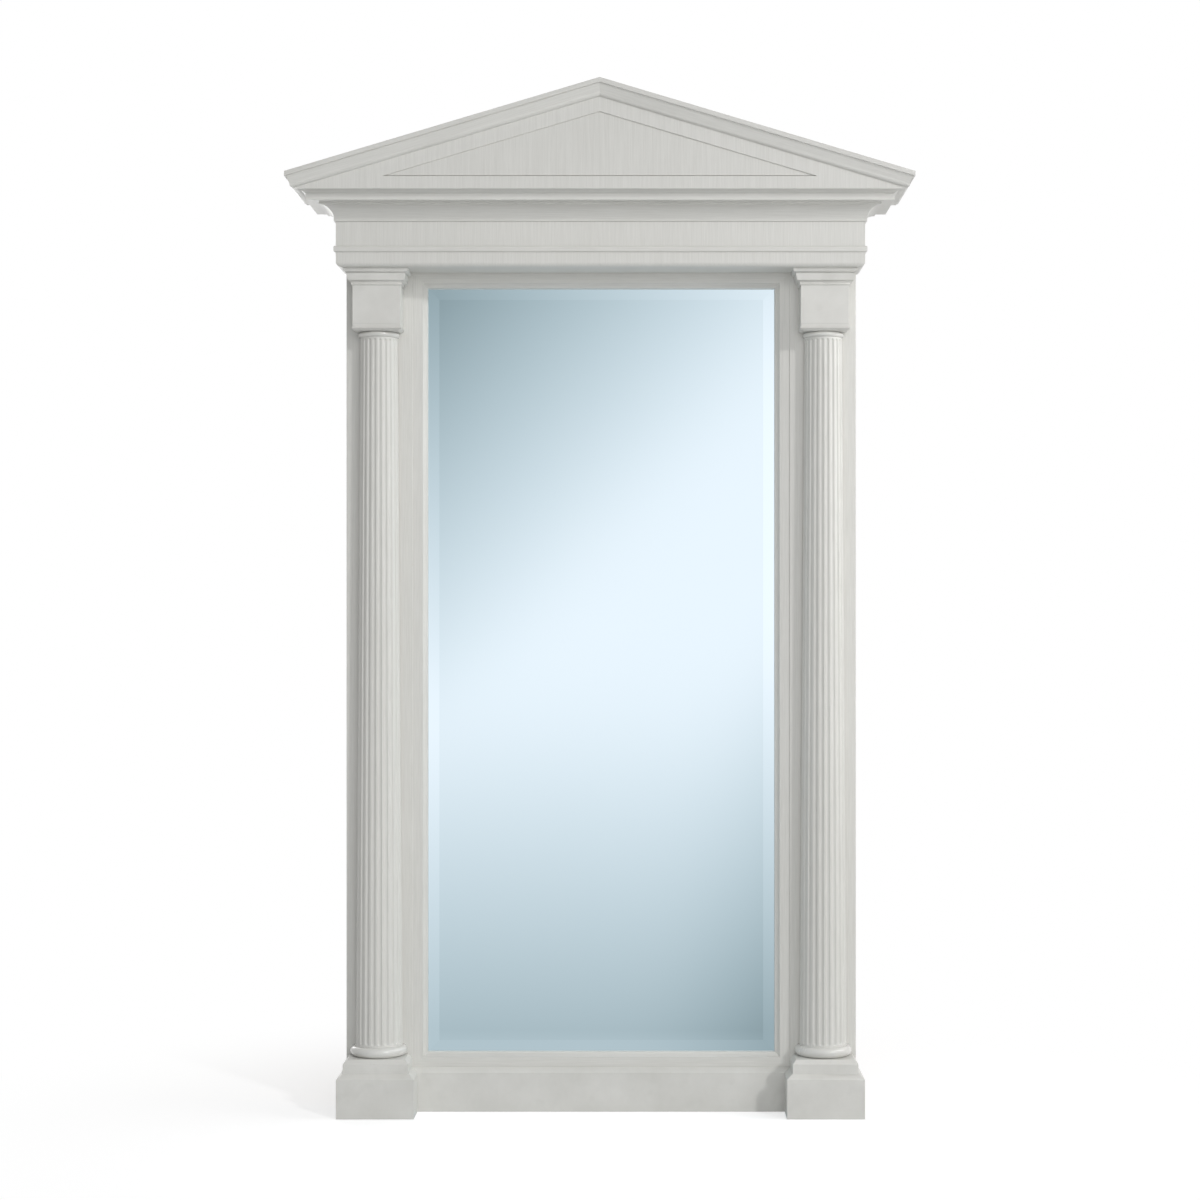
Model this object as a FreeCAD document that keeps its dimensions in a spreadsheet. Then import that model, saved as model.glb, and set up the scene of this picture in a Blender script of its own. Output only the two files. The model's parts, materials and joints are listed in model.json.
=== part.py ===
import FreeCAD, Part
import math
import os
from types import SimpleNamespace

import Sketcher

# Floor mirror: a bevelled glass between two fluted columns, under an entablature and a pediment.
# Millimetres. +Z is up, the front faces -Y, and the origin is on the floor under the middle of the mirror.
# "Reach" is the distance forward of the flat back, which stands against a wall.

SIZES = {
    # Glass and the moulded frame round it
    "sight_width": 762,
    "sight_height": 1676.4,
    "glass_thickness": 6,
    "bevel_width": 25.4,
    "bevel_edge": 3,
    "glass_lap": 6.35,
    "glass_clearance": 3,
    "moulding_width": 32,
    "moulding_slope": 10,
    "moulding_step": 3,
    "sight_edge": 5,
    "setting_block_length": 80,
    "backing_thickness": 4,
    "backing_setback": 6,
    "backing_clearance": 1,
    # Stiles, base and plinths
    "stile_width": 145,
    "stile_thickness": 30,
    "base_height": 95,
    "base_chamfer": 10,
    "base_rail_thickness": 12,
    "base_rail_top": 1,
    "board_thickness": 11.5,
    "plinth_cap_inset": 1.5,
    "plinth_cap_height": 30,
    "plinth_cap_face": 21,
    "plinth_cap_weathering": 8,
    # Columns
    "column_offset": 10,
    "torus_width": 125,
    "torus_height": 23,
    "shaft_bottom_width": 103,
    "shaft_top_width": 82,
    "flute_count": 22,
    "flute_radius": 5.6,
    "flute_depth": 3,
    "flute_margin": 3,
    "necking_width": 91,
    "necking_height": 12,
    "capital_width": 104.6,
    "capital_height": 98,
    "capital_flare": 2.5,
    "capital_flare_height": 11,
    "capital_foot_inset": 5,
    "capital_foot_height": 5,
    "capital_bead": 3,
    "capital_bead_height": 3,
    "capital_cove_height": 7,
    "capital_cove": 8.5,
    "capital_fascia_height": 14,
    "capital_fascia_lean": 3,
    "capital_groove": 1.5,
    "capital_top_bead": 5,
    "capital_top_height": 10,
    # Entablature
    "ovolo_height": 10,
    "ovolo_edge": 1.5,
    "architrave_height": 31,
    "taenia_height": 13,
    "taenia_projection": 4.5,
    "taenia_bevel": 2,
    "frieze_height": 53,
    "bed_mould_height": 36,
    "bed_mould_projection": 32,
    "bed_mould_fillet": 4,
    "soffit_thickness": 12,
    # Cornice and pediment
    "corona_height": 14,
    "corona_shelf": 25,
    "cornice_height": 8,
    "cornice_cove": 22,
    "cornice_lip": 2,
    "pediment_rise": 193,
    "rake_height": 36,
    "rake_fillet": 10,
    "rake_projection": 18,
    "rake_quirk": 4,
    "rake_lean": 6,
    "rake_ovolo_height": 9,
    "rake_border": 30,
    "sill_height": 25,
    "tympanum_recess": 3,
    "tympanum_gap": 1.2,
    "tympanum_lip": 15,
    "tympanum_lip_thickness": 6,
    "pediment_thickness": 12,
    "pediment_back_thickness": 9,
    "roof_thickness": 12,
    "eave_rail_depth": 24,
    # Dowels and screws
    "frame_dowel_width": 10,
    "frame_dowel_length": 60,
    "frame_dowel_spread": 80,
    "column_dowel_width": 16,
    "column_dowel_bite": 45,
    "screw_head_width": 8,
    "screw_head_height": 2.4,
    "screw_shank_width": 4,
    "screw_shank_length": 16,
    # Levelling glides
    "glide_margin": 27,
    "glide_pad_width": 30,
    "glide_pad_height": 8,
    "glide_pad_round": 3,
    "glide_lift": 0.5,
    "glide_headroom": 1.5,
    "glide_recess_width": 36,
    "glide_stem_width": 8,
    "glide_stem_length": 30,
    "glide_stem_clearance": 0.05,
    "insert_width": 12,
    "insert_length": 20,
    # Wall anchors in the backs of the stiles
    "anchor_drop": 200,
    "anchor_pocket_width": 50,
    "anchor_pocket_depth": 12,
    "anchor_pocket_margin": 8,
    "strap_width": 18,
    "strap_length": 52,
    "strap_thickness": 1.5,
    "knuckle_length": 20,
    "knuckle_wall": 1.6,
    "knuckle_clearance": 0.1,
    "ring_wire": 4,
    "ring_width": 30,
    "ring_leg": 10,
    # Cutting tools and trial pieces run past what they cut by this much
    "overrun": 5,
}

# Arcs are given by their rise as a share of their chord: positive swells out, negative is hollow.
quarter_round_share = (math.sqrt(2) - 1) / 2
rake_swell_share = 0.2
cornice_hollow_share = -0.12
capital_hollow_share = -0.17
sight_hollow_share = -0.12
# Places of the screws along the backing board's sides and ends
side_screw_shares = (0.05, 0.275, 0.5, 0.725, 0.95)
end_screw_shares = (-0.55, 0, 0.55)
setting_block_share = 0.5
top_dowel_shares = (0.3, 0.75)
base_dowel_shares = (0.3, 0.7)
anchor_screw_shares = (0.32, 0.78)

doc = FreeCAD.newDocument("FloorMirror")
sheet = doc.addObject("Spreadsheet::Sheet", "Sizes")
for row, (alias, number) in enumerate(SIZES.items(), start=1):
    sheet.set(f"A{row}", alias)
    sheet.set(f"B{row}", str(number))
    sheet.setAlias(f"B{row}", alias)
doc.recompute()


class Size:
    """A length worked out from the sheet: the expression that is bound, and its present value."""

    def __init__(self, text, value):
        self.text = text
        self.value = value

    def __add__(self, other):
        return Size(f"({self.text} + {other.text})", self.value + other.value)

    def __sub__(self, other):
        return Size(f"({self.text} - {other.text})", self.value - other.value)

    def __neg__(self):
        return Size(f"(-{self.text})", -self.value)

    def __mul__(self, factor):
        factor = factor if isinstance(factor, Size) else Size(f"({factor!r})", factor)
        return Size(f"({self.text} * {factor.text})", self.value * factor.value)

    def __truediv__(self, factor):
        factor = factor if isinstance(factor, Size) else Size(f"({factor!r})", factor)
        return Size(f"({self.text} / {factor.text})", self.value / factor.value)


def root(size_squared):
    return Size(f"sqrt({size_squared.text})", math.sqrt(size_squared.value))


ZERO = Size("0", 0.0)
ONE = Size("1", 1.0)
size = SimpleNamespace(**{alias: Size(f"Sizes.{alias}", float(number)) for alias, number in SIZES.items()})
over = size.overrun

# Widths, from the middle outwards
sight_half = size.sight_width / 2
frame_half = sight_half + size.moulding_width
stile_outer = frame_half + size.stile_width
column_x = frame_half + size.stile_width / 2
plinth_half = size.stile_width / 2 + size.board_thickness
plinth_inner = column_x - plinth_half
entablature_half = column_x + plinth_half
corona_half = entablature_half + size.bed_mould_projection + size.corona_shelf
cornice_half = corona_half + size.cornice_cove

# Reaches, from the back forwards
stile_face = size.stile_thickness
column_reach = stile_face + size.column_offset
entablature_face = column_reach + plinth_half
corona_face = entablature_face + size.bed_mould_projection + size.corona_shelf
cornice_face = corona_face + size.cornice_cove
rake_face = cornice_face + size.rake_projection
back = rake_face / 2
backing_face = size.backing_setback + size.backing_thickness
glass_face = backing_face + size.glass_thickness
bevel_total = size.bevel_width + size.glass_lap
bevel_fall = size.glass_thickness - size.bevel_edge
rebate_reach = backing_face + size.bevel_edge + bevel_fall * (size.glass_lap / bevel_total)
rebate_width = size.glass_lap + size.glass_clearance

# Heights, from the floor up
plinth_cap_top = size.base_height + size.plinth_cap_height
shaft_bottom = plinth_cap_top + size.torus_height
sight_bottom = size.base_height + size.moulding_width
sight_top = sight_bottom + size.sight_height
frame_top = sight_top + size.moulding_width
capital_cap_height = (size.capital_bead_height + size.capital_cove_height + size.capital_fascia_height
                      + size.capital_groove + size.capital_top_height)
capital_top = frame_top - capital_cap_height
capital_bottom = capital_top - size.capital_height
shaft_top = capital_bottom - size.necking_height
taenia_bottom = frame_top + size.architrave_height
frieze_bottom = taenia_bottom + size.taenia_height
bed_mould_bottom = frieze_bottom + size.frieze_height
corona_bottom = bed_mould_bottom + size.bed_mould_height
cornice_bottom = corona_bottom + size.corona_height
pediment_bottom = cornice_bottom + size.cornice_height
slope = size.pediment_rise / cornice_half
stretch = root(ONE + slope * slope)
roof_apex = pediment_bottom + size.pediment_rise + size.rake_height * stretch


def below_roof(x, drop):
    """Height, at a distance from the middle, of a line that lies under the roof by a square drop."""
    return roof_apex - drop * stretch - slope * x


def bind(obj, **sizes):
    for name, value in sizes.items():
        obj.setExpression(name, value.text)


def place(obj, x, reach, level):
    for name, value in (("x", x), ("y", back - reach), ("z", level)):
        obj.setExpression(f"Placement.Base.{name}", value.text)


def origin_feature(body, role):
    return next(feature for feature in body.Origin.OriginFeatures if feature.Role == role)


def arc_radius(here, there, bulge):
    across = there[0] - here[0]
    along = there[1] - here[1]
    return root(across * across + along * along) * ((1 + 4 * bulge ** 2) / (8 * abs(bulge)))


def outline(body, plane, corners, name):
    """Sketch of a closed outline, counter-clockwise, with every corner and radius bound.

    A corner is (across, up) or (across, up, bulge), where bulge makes the next side an arc.
    """
    sketch = body.newObject("Sketcher::SketchObject", name)
    sketch.AttachmentSupport = (origin_feature(body, plane), [""])
    sketch.MapMode = "FlatFace"
    corners = with_bulge(corners)
    starts = []
    ends = []
    arcs = []
    for index, (across, up, bulge) in enumerate(corners):
        following = corners[(index + 1) % len(corners)]
        here = FreeCAD.Vector(across.value, up.value, 0)
        there = FreeCAD.Vector(following[0].value, following[1].value, 0)
        if not bulge:
            sketch.addGeometry(Part.LineSegment(here, there), False)
        else:
            run = there - here
            crown = (here + there) / 2 + FreeCAD.Vector(run.y, -run.x, 0) * bulge
            first, last = (here, there) if bulge > 0 else (there, here)
            sketch.addGeometry(Part.Arc(first, crown, last), False)
            arcs.append((index, arc_radius((across, up), following, bulge)))
        starts.append(2 if bulge < 0 else 1)
        ends.append(1 if bulge < 0 else 2)
    rules = []
    bound = []
    for index, (across, up, bulge) in enumerate(corners):
        following = (index + 1) % len(corners)
        rules.append(Sketcher.Constraint("Coincident", index, ends[index], following, starts[following]))
        for rule, value in (("DistanceX", across), ("DistanceY", up)):
            bound.append((len(rules), value))
            rules.append(Sketcher.Constraint(rule, index, starts[index], value.value))
    for index, radius in arcs:
        bound.append((len(rules), radius))
        rules.append(Sketcher.Constraint("Radius", index, radius.value))
    sketch.addConstraint(rules)
    for rule_index, value in bound:
        sketch.setExpression(f"Constraints[{rule_index}]", value.text)
    return sketch


def with_bulge(corners):
    """The corners as (across, up, bulge), where a straight side has a bulge of 0."""
    return [tuple(corner) + (0,) * (3 - len(corner)) for corner in corners]


def reversed_outline(corners):
    """The same corners taken the other way round."""
    full = with_bulge(corners)
    return [(across, up, full[index - 1][2]) for index, (across, up, _) in reversed(list(enumerate(full)))]


def flipped(corners):
    """The same outline seen in a mirror, still counter-clockwise."""
    return [(-across, up, bulge) for across, up, bulge in reversed_outline(corners)]


def prism(name, view, corners, start, end):
    """Solid with an outline in one view, which runs across that view from start to end.

    The views are "side" (reach, height), running along X; "plan" (x, -reach), running up;
    and "front" (x, height), running forward.
    """
    body = doc.addObject("PartDesign::Body", name)
    place(body, ZERO, ZERO, ZERO)
    if view == "side":
        sketch = outline(body, "YZ_Plane", flipped(corners), f"{name}_outline")
    elif view == "plan":
        sketch = outline(body, "XY_Plane", corners, f"{name}_outline")
    else:
        sketch = outline(body, "XZ_Plane", corners, f"{name}_outline")
    sketch.setExpression("AttachmentOffset.Base.z", start.text)
    pad = body.newObject("PartDesign::Pad", f"{name}_pad")
    pad.Profile = sketch
    bind(pad, Length=end - start)
    return body


def raking(name, corners, reach_out):
    """Solid whose plumb section at the middle, in (reach, height), runs down the right-hand slope."""
    body = prism(name, "side", corners, ZERO, reach_out)
    pad = body.Tip
    pad.UseCustomVector = True
    pad.AlongSketchNormal = True
    for axis, part in (("x", ONE), ("y", ZERO), ("z", -slope)):
        pad.setExpression(f"Direction.{axis}", part.text)
    return body


def board(name, x_low, x_high, rear, front, bottom, top):
    box = doc.addObject("Part::Box", name)
    bind(box, Length=x_high - x_low, Width=front - rear, Height=top - bottom)
    place(box, x_low, front, bottom)
    return box


def bar(name, heading, width, length, x, reach, level):
    """Round bar that starts at a point and heads up, across (+X) or ahead (-Y)."""
    turns = {"up": (0, 0, 1, 0), "across": (0, 1, 0, 90), "ahead": (1, 0, 0, 90)}
    *axis, angle = turns[heading]
    cylinder = doc.addObject("Part::Cylinder", name)
    cylinder.Placement = FreeCAD.Placement(FreeCAD.Vector(), FreeCAD.Rotation(FreeCAD.Vector(*axis), angle))
    bind(cylinder, Radius=width / 2, Height=length)
    place(cylinder, x, reach, level)
    return cylinder


def revolved(name, x, reach, corners):
    """Solid turned about an upright axis, from an outline in (radius, height) that starts on the axis."""
    body = doc.addObject("PartDesign::Body", name)
    place(body, x, reach, ZERO)
    sketch = outline(body, "XZ_Plane", corners, f"{name}_outline")
    turning = body.newObject("PartDesign::Revolution", f"{name}_turning")
    turning.Profile = sketch
    turning.ReferenceAxis = (sketch, ["V_Axis"])
    turning.Angle = 360
    return body


def common(name, base, tool):
    obj = doc.addObject("Part::Common", name)
    obj.Base = base
    obj.Tool = tool
    return obj


def cut(name, base, *tools):
    obj = doc.addObject("Part::Cut", name)
    obj.Base = base
    obj.Tool = tools[0] if len(tools) == 1 else group(f"{name}_tools", *tools)
    return obj


def fuse(name, *pieces):
    obj = doc.addObject("Part::MultiFuse", name)
    obj.Shapes = list(pieces)
    return obj


def group(name, *pieces):
    obj = doc.addObject("Part::Compound", name)
    obj.Links = list(pieces)
    return obj


def mirror(name, piece):
    obj = doc.addObject("Part::Mirroring", name)
    obj.Source = piece
    obj.Base = FreeCAD.Vector(0, 0, 0)
    obj.Normal = FreeCAD.Vector(1, 0, 0)
    return obj


nodes = {}


def node(label, piece):
    piece.Label = label
    nodes[label] = piece


def both_sides(name, piece, modelled="left", other="right"):
    node(f"{modelled}_{name}", piece)
    node(f"{other}_{name}", mirror(f"{other}_{name}", piece))


def with_mirror(name, *pieces):
    """The pieces of the left side and their mirror images."""
    return list(pieces) + [mirror(f"{name}_{index}", piece) for index, piece in enumerate(pieces)]


def widest(profile):
    return max((corner[0] for corner in profile), key=lambda value: value.value)


def level_range(profile):
    levels = sorted((corner[1] for corner in profile), key=lambda value: value.value)
    return levels[0], levels[-1]


def moulded_block(name, centre, half, front, rear, profile):
    """Block with one profile on its front and both sides: where a front run and a side run cross.

    The profile goes up, in (projection, height[, bulge]).
    """
    profile = with_bulge(profile)
    low, high = level_range(profile)
    out = widest(profile) + over
    side = [(rear, low)] + [(front + shift, level, bulge) for shift, level, bulge in profile] + [(rear, high)]
    right = [(centre + half + shift, level, bulge) for shift, level, bulge in profile]
    arriving = [0] + [bulge for _, _, bulge in profile[:-1]]
    left = [(centre - half - shift, level, bulge) for (shift, level, _), bulge in zip(profile, arriving)]
    depth_run = prism(f"{name}_depth", "side", side, centre - half - out, centre + half + out)
    width_run = prism(f"{name}_width", "front", right + left[::-1], rear - over, front + out)
    return common(name, depth_run, width_run)


def front_run(name, half, face, profile):
    """Moulding along a front face, mitred at both ends; the profile is closed, in (projection, height)."""
    low, high = level_range(profile)
    out = widest(profile) + over
    run = prism(f"{name}_run", "side", [(face + corner[0],) + tuple(corner[1:]) for corner in profile],
                -(half + out), half + out)
    plan = [(-(half + out), -(face + out)), (half + out, -(face + out)),
            (half - over, -(face - over)), (-(half - over), -(face - over))]
    return common(name, run, prism(f"{name}_mitres", "plan", plan, low - over, high + over))


def left_run(name, half, face, profile):
    """Moulding along the left side from the back to a mitre at the front corner."""
    low, high = level_range(profile)
    out = widest(profile) + over
    section = flipped([(half + corner[0],) + tuple(corner[1:]) for corner in profile])
    run = prism(f"{name}_run", "front", section, ZERO, face + out)
    plan = [(-(half + out), over), (-(half + out), -(face + out)),
            (-(half - over), -(face - over)), (-(half - over), over)]
    return common(name, run, prism(f"{name}_mitre", "plan", plan, low - over, high + over))


def planed(name, turning, radius, low, high):
    """A turned piece with its back planed flat to lie on the stile."""
    keep = board(f"{name}_front_part", -(column_x + radius + over), -(column_x - radius - over),
                 stile_face, column_reach + radius + over, low - over, high + over)
    return common(name, turning, keep)


def screw(name, x, reach, level):
    """Pan-head screw driven forward: its head lies behind the given reach."""
    head = bar(f"{name}_head", "ahead", size.screw_head_width, size.screw_head_height,
               x, reach - size.screw_head_height, level)
    shank = bar(f"{name}_shank", "ahead", size.screw_shank_width, size.screw_shank_length, x, reach, level)
    return fuse(name, head, shank)


def make_dowels():
    """Dowels of the left half: top rail to stile, bottom rail to plinth, stile to plinth, and the column."""
    half_length = size.frame_dowel_length / 2
    middle = stile_face / 2
    top = [bar(f"top_dowel_{index}", "across", size.frame_dowel_width, size.frame_dowel_length,
               -(frame_half + half_length), middle, frame_top + (corona_bottom - frame_top) * share)
           for index, share in enumerate(top_dowel_shares)]
    base = [bar(f"base_dowel_{index}", "across", size.frame_dowel_width, size.frame_dowel_length,
                -(plinth_inner + half_length), middle, size.base_height * share)
            for index, share in enumerate(base_dowel_shares)]
    spread = size.frame_dowel_spread / 2
    stile = [bar(f"stile_dowel_{index}", "up", size.frame_dowel_width, size.frame_dowel_length,
                 x, middle, size.base_height - half_length)
             for index, x in enumerate((-(column_x + spread), -(column_x - spread)))]
    bite = size.column_dowel_bite
    foot = size.base_height - bite
    foot_dowel = bar("column_foot_dowel", "up", size.column_dowel_width, shaft_bottom + bite - foot,
                     -column_x, column_reach, foot)
    head = shaft_top - bite
    head_end = capital_top + capital_cap_height / 2
    head_dowel = bar("column_head_dowel", "up", size.column_dowel_width, head_end - head,
                     -column_x, column_reach, head)
    node("frame_dowels", group("frame_dowels", *with_mirror("right_frame_dowel", *top, *base, *stile)))
    node("column_dowels", group("column_dowels", *with_mirror("right_column_dowel", foot_dowel, head_dowel)))
    return SimpleNamespace(top=top, base=base, stile=stile, foot=foot_dowel, head=head_dowel)


def make_glass():
    half = sight_half + size.glass_lap
    low = sight_bottom - size.glass_lap
    high = sight_top + size.glass_lap
    edge = backing_face + size.bevel_edge
    side = [(backing_face, low), (edge, low), (glass_face, low + bevel_total),
            (glass_face, high - bevel_total), (edge, high), (backing_face, high)]
    plan = [(-half, -edge), (-(half - bevel_total), -glass_face), (half - bevel_total, -glass_face),
            (half, -edge), (half, -backing_face), (-half, -backing_face)]
    upright = prism("glass_side", "side", side, -(half + over), half + over)
    level = prism("glass_plan", "plan", plan, low - over, high + over)
    node("mirror_glass", common("mirror_glass", upright, level))
    block_half = size.setting_block_length / 2
    block_x = sight_half * setting_block_share
    block = board("setting_block", -(block_x + block_half), -(block_x - block_half),
                  backing_face, rebate_reach, sight_bottom - rebate_width, low)
    node("setting_blocks", group("setting_blocks", *with_mirror("right_setting_block", block)))


def sight_section():
    """Section of the moulding round the glass, in (distance outside the sight edge, reach)."""
    face = stile_face - size.moulding_step
    lip = rebate_reach + size.sight_edge
    return [(ZERO, rebate_reach), (rebate_width, rebate_reach), (rebate_width, backing_face),
            (size.moulding_width, backing_face), (size.moulding_width, face),
            (size.moulding_slope, face, sight_hollow_share), (ZERO, lip)]


def make_sight_mouldings():
    """Four mouldings mitred round the glass, and the backing board screwed to their backs."""
    section = sight_section()
    screw_line = (rebate_width + size.moulding_width) / 2
    frame_height = frame_top - size.base_height
    side_screws = [screw(f"side_screw_{index}", -(sight_half + screw_line), size.backing_setback,
                         size.base_height + frame_height * share)
                   for index, share in enumerate(side_screw_shares)]
    top_screws = [screw(f"top_screw_{index}", sight_half * share, size.backing_setback,
                        sight_top + screw_line)
                  for index, share in enumerate(end_screw_shares)]
    bottom_screws = [screw(f"bottom_screw_{index}", sight_half * share, size.backing_setback,
                           sight_bottom - screw_line)
                     for index, share in enumerate(end_screw_shares)]
    far = size.moulding_width + over

    left_section = [(-(sight_half + out), -reach) + tuple(rest) for out, reach, *rest in section]
    left = prism("left_moulding_run", "plan", left_section, size.base_height - over, frame_top + over)
    left_mitres = [(-(sight_half - over), sight_bottom + over), (-(sight_half - over), sight_top - over),
                   (-(sight_half + far), sight_top + far), (-(sight_half + far), sight_bottom - far)]
    left_mitre_cut = prism("left_moulding_mitres", "front", left_mitres, ZERO, stile_face)
    left = common("left_moulding", left, left_mitre_cut)
    both_sides("sight_moulding", cut("left_sight_moulding", left, *side_screws))

    bottom_section = [(reach, sight_bottom - out) + tuple(rest) for out, reach, *rest in section]
    top_section = reversed_outline([(reach, sight_top + out) + tuple(rest) for out, reach, *rest in section])
    for name, run_section, sight, outward, screws in (
            ("top", top_section, sight_top, 1, top_screws),
            ("bottom", bottom_section, sight_bottom, -1, bottom_screws)):
        run = prism(f"{name}_moulding_run", "side", run_section, -(sight_half + far), sight_half + far)
        inner = sight - over * outward
        outer = sight + far * outward
        mitres = [(-(sight_half - over), inner), (sight_half - over, inner),
                  (sight_half + far, outer), (-(sight_half + far), outer)]
        mitre_cut = prism(f"{name}_moulding_mitres", "front", mitres, ZERO, stile_face)
        mitred = common(f"{name}_moulding", run, mitre_cut)
        node(f"{name}_sight_moulding", cut(f"{name}_sight_moulding", mitred, *screws))

    all_screws = with_mirror("right_side_screw", *side_screws) + top_screws + bottom_screws
    node("backing_screws", group("backing_screws", *all_screws))
    gap = size.backing_clearance
    backing = board("backing", -(frame_half - gap), frame_half - gap, size.backing_setback, backing_face,
                    size.base_height + gap, frame_top - gap)
    node("backing_board", cut("backing_board", backing, *all_screws))


def make_frame(dowels, anchor, plinth_shape):
    """Stiles, top rail, and the two rails of the base, whose ends are scribed to the plinths."""
    stile = board("stile", -stile_outer, -frame_half, ZERO, stile_face, size.base_height, corona_bottom)
    both_sides("stile", cut("left_stile", stile, *dowels.top, *dowels.stile, anchor.pocket, *anchor.screws))
    top = board("top_rail_board", -frame_half, frame_half, ZERO, stile_face, frame_top, corona_bottom)
    node("top_rail", cut("top_rail", top, *with_mirror("top_rail_hole", *dowels.top)))
    plinths = with_mirror("right_plinth_shape", plinth_shape)
    bottom = board("bottom_rail_board", -frame_half, frame_half, ZERO, stile_face, ZERO, size.base_height)
    scribed = cut("bottom_rail_scribed", bottom, *plinths)
    node("bottom_rail", cut("bottom_rail", scribed, *with_mirror("bottom_rail_hole", *dowels.base)))
    front = stile_face + size.base_rail_thickness
    shoulder = size.base_height - size.base_chamfer
    section = [(stile_face, ZERO), (front, ZERO), (front, shoulder),
               (stile_face + size.base_rail_top, size.base_height), (stile_face, size.base_height)]
    run = prism("base_rail_run", "side", section, -frame_half, frame_half)
    node("base_rail", cut("base_rail", run, *plinths))


def make_glides():
    """Levelling glides in threaded inserts under each plinth; returns the holes they need."""
    recess_depth = size.glide_lift + size.glide_pad_height + size.glide_headroom
    stem_top = size.glide_lift + size.glide_pad_height + size.glide_stem_length
    drilling_depth = stem_top + size.glide_headroom - recess_depth
    pad = size.glide_pad_width / 2
    stem = size.glide_stem_width / 2
    pad_top = size.glide_lift + size.glide_pad_height
    profile = [(ZERO, size.glide_lift), (pad - size.glide_pad_round, size.glide_lift, quarter_round_share),
               (pad, size.glide_lift + size.glide_pad_round), (pad, pad_top), (stem, pad_top),
               (stem, stem_top), (ZERO, stem_top)]
    bore_width = size.glide_stem_width + size.glide_stem_clearance * 2
    holes = []
    inserts = []
    for name, reach in (("front", entablature_face - size.glide_margin), ("rear", size.glide_margin)):
        glide = revolved(f"left_{name}_glide", -column_x, reach, profile)
        both_sides(f"{name}_glide", glide)
        recess = bar(f"{name}_glide_recess", "up", size.glide_recess_width, recess_depth + over,
                     -column_x, reach, -over)
        drilling = bar(f"{name}_glide_drilling", "up", size.insert_width, drilling_depth,
                       -column_x, reach, recess_depth)
        holes.append(fuse(f"{name}_glide_hole", recess, drilling))
        sleeve = bar(f"{name}_insert_sleeve", "up", size.insert_width, size.insert_length,
                     -column_x, reach, recess_depth)
        bore = bar(f"{name}_insert_bore", "up", bore_width, size.insert_length + over + over,
                   -column_x, reach, recess_depth - over)
        inserts.append(cut(f"{name}_insert", sleeve, bore))
    node("glide_inserts", group("glide_inserts", *with_mirror("right_insert", *inserts)))
    return holes


def left_plinth_shape():
    """The left plinth before it is drilled."""
    half = size.stile_width / 2
    rise = [(size.board_thickness, ZERO), (size.board_thickness, size.base_height - size.base_chamfer),
            (ZERO, size.base_height)]
    return moulded_block("plinth_block", -column_x, half, column_reach + half, ZERO, rise)


def make_plinths(dowels, shape, glide_holes):
    both_sides("plinth", cut("left_plinth", shape, *dowels.base, *dowels.stile, dowels.foot, *glide_holes))
    cap_half = size.stile_width / 2 - size.plinth_cap_inset
    cap_rise = [(ZERO, size.base_height), (ZERO, size.base_height + size.plinth_cap_face),
                (-size.plinth_cap_weathering, plinth_cap_top)]
    cap = moulded_block("plinth_cap_block", -column_x, cap_half, column_reach + cap_half, stile_face,
                        cap_rise)
    both_sides("plinth_cap", cut("left_plinth_cap", cap, dowels.foot))


def bead(radius, low, high):
    """Half-round edge of a turned ring, in (radius, height)."""
    swell = (high - low) / 2
    flat = radius - swell
    return [(ZERO, low), (flat, low, quarter_round_share), (radius, low + swell, quarter_round_share),
            (flat, high), (ZERO, high)]


def make_columns(dowels):
    for name, width, low, high, dowel in (
            ("column_base", size.torus_width, plinth_cap_top, shaft_bottom, dowels.foot),
            ("necking_ring", size.necking_width, shaft_top, capital_bottom, dowels.head)):
        ring = revolved(f"{name}_turned", -column_x, column_reach, bead(width / 2, low, high))
        flat_backed = planed(f"{name}_planed", ring, width / 2, low, high)
        both_sides(name, cut(f"left_{name}", flat_backed, dowel))
    shaft = fluted_shaft()
    flat_backed = planed("shaft_planed", shaft, size.shaft_bottom_width / 2, shaft_bottom, shaft_top)
    both_sides("column_shaft", cut("left_column_shaft", flat_backed, dowels.foot, dowels.head))


def fluted_shaft():
    """Tapering shaft with flutes that taper with it and end in rounds."""
    low_radius = size.shaft_bottom_width / 2
    high_radius = size.shaft_top_width / 2
    body = revolved("shaft_turned", -column_x, column_reach,
                    [(ZERO, shaft_bottom), (low_radius, shaft_bottom),
                     (high_radius, shaft_top), (ZERO, shaft_top)])
    taper = size.shaft_top_width / size.shaft_bottom_width
    offset = size.flute_radius - size.flute_depth
    low_axis = low_radius + offset
    high_axis = high_radius + offset * taper
    low = shaft_bottom + size.flute_margin
    high = shaft_top - size.flute_margin
    high_cutter = size.flute_radius * taper
    cutter = [(low_axis, low), (high_axis, high, quarter_round_share),
              (high_axis - high_cutter, high - high_cutter),
              (low_axis - size.flute_radius, low + size.flute_radius, quarter_round_share)]
    sketch = outline(body, "XZ_Plane", cutter, "flute_cutter")
    spine = sketch.addGeometry(Part.LineSegment(FreeCAD.Vector(low_axis.value, low.value, 0),
                                                FreeCAD.Vector(high_axis.value, high.value, 0)), True)
    sketch.addConstraint([Sketcher.Constraint("Coincident", spine, 1, 0, 1),
                          Sketcher.Constraint("Coincident", spine, 2, 0, 2)])
    groove = body.newObject("PartDesign::Groove", "flute")
    groove.Profile = sketch
    groove.ReferenceAxis = (sketch, ["Axis0"])
    groove.Angle = 360
    doc.recompute()
    pattern = body.newObject("PartDesign::PolarPattern", "flutes")
    pattern.Originals = [groove]
    pattern.Axis = (origin_feature(body, "Z_Axis"), [""])
    pattern.Angle = 360
    bind(pattern, Occurrences=size.flute_count)
    body.Tip = pattern
    return body


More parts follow.
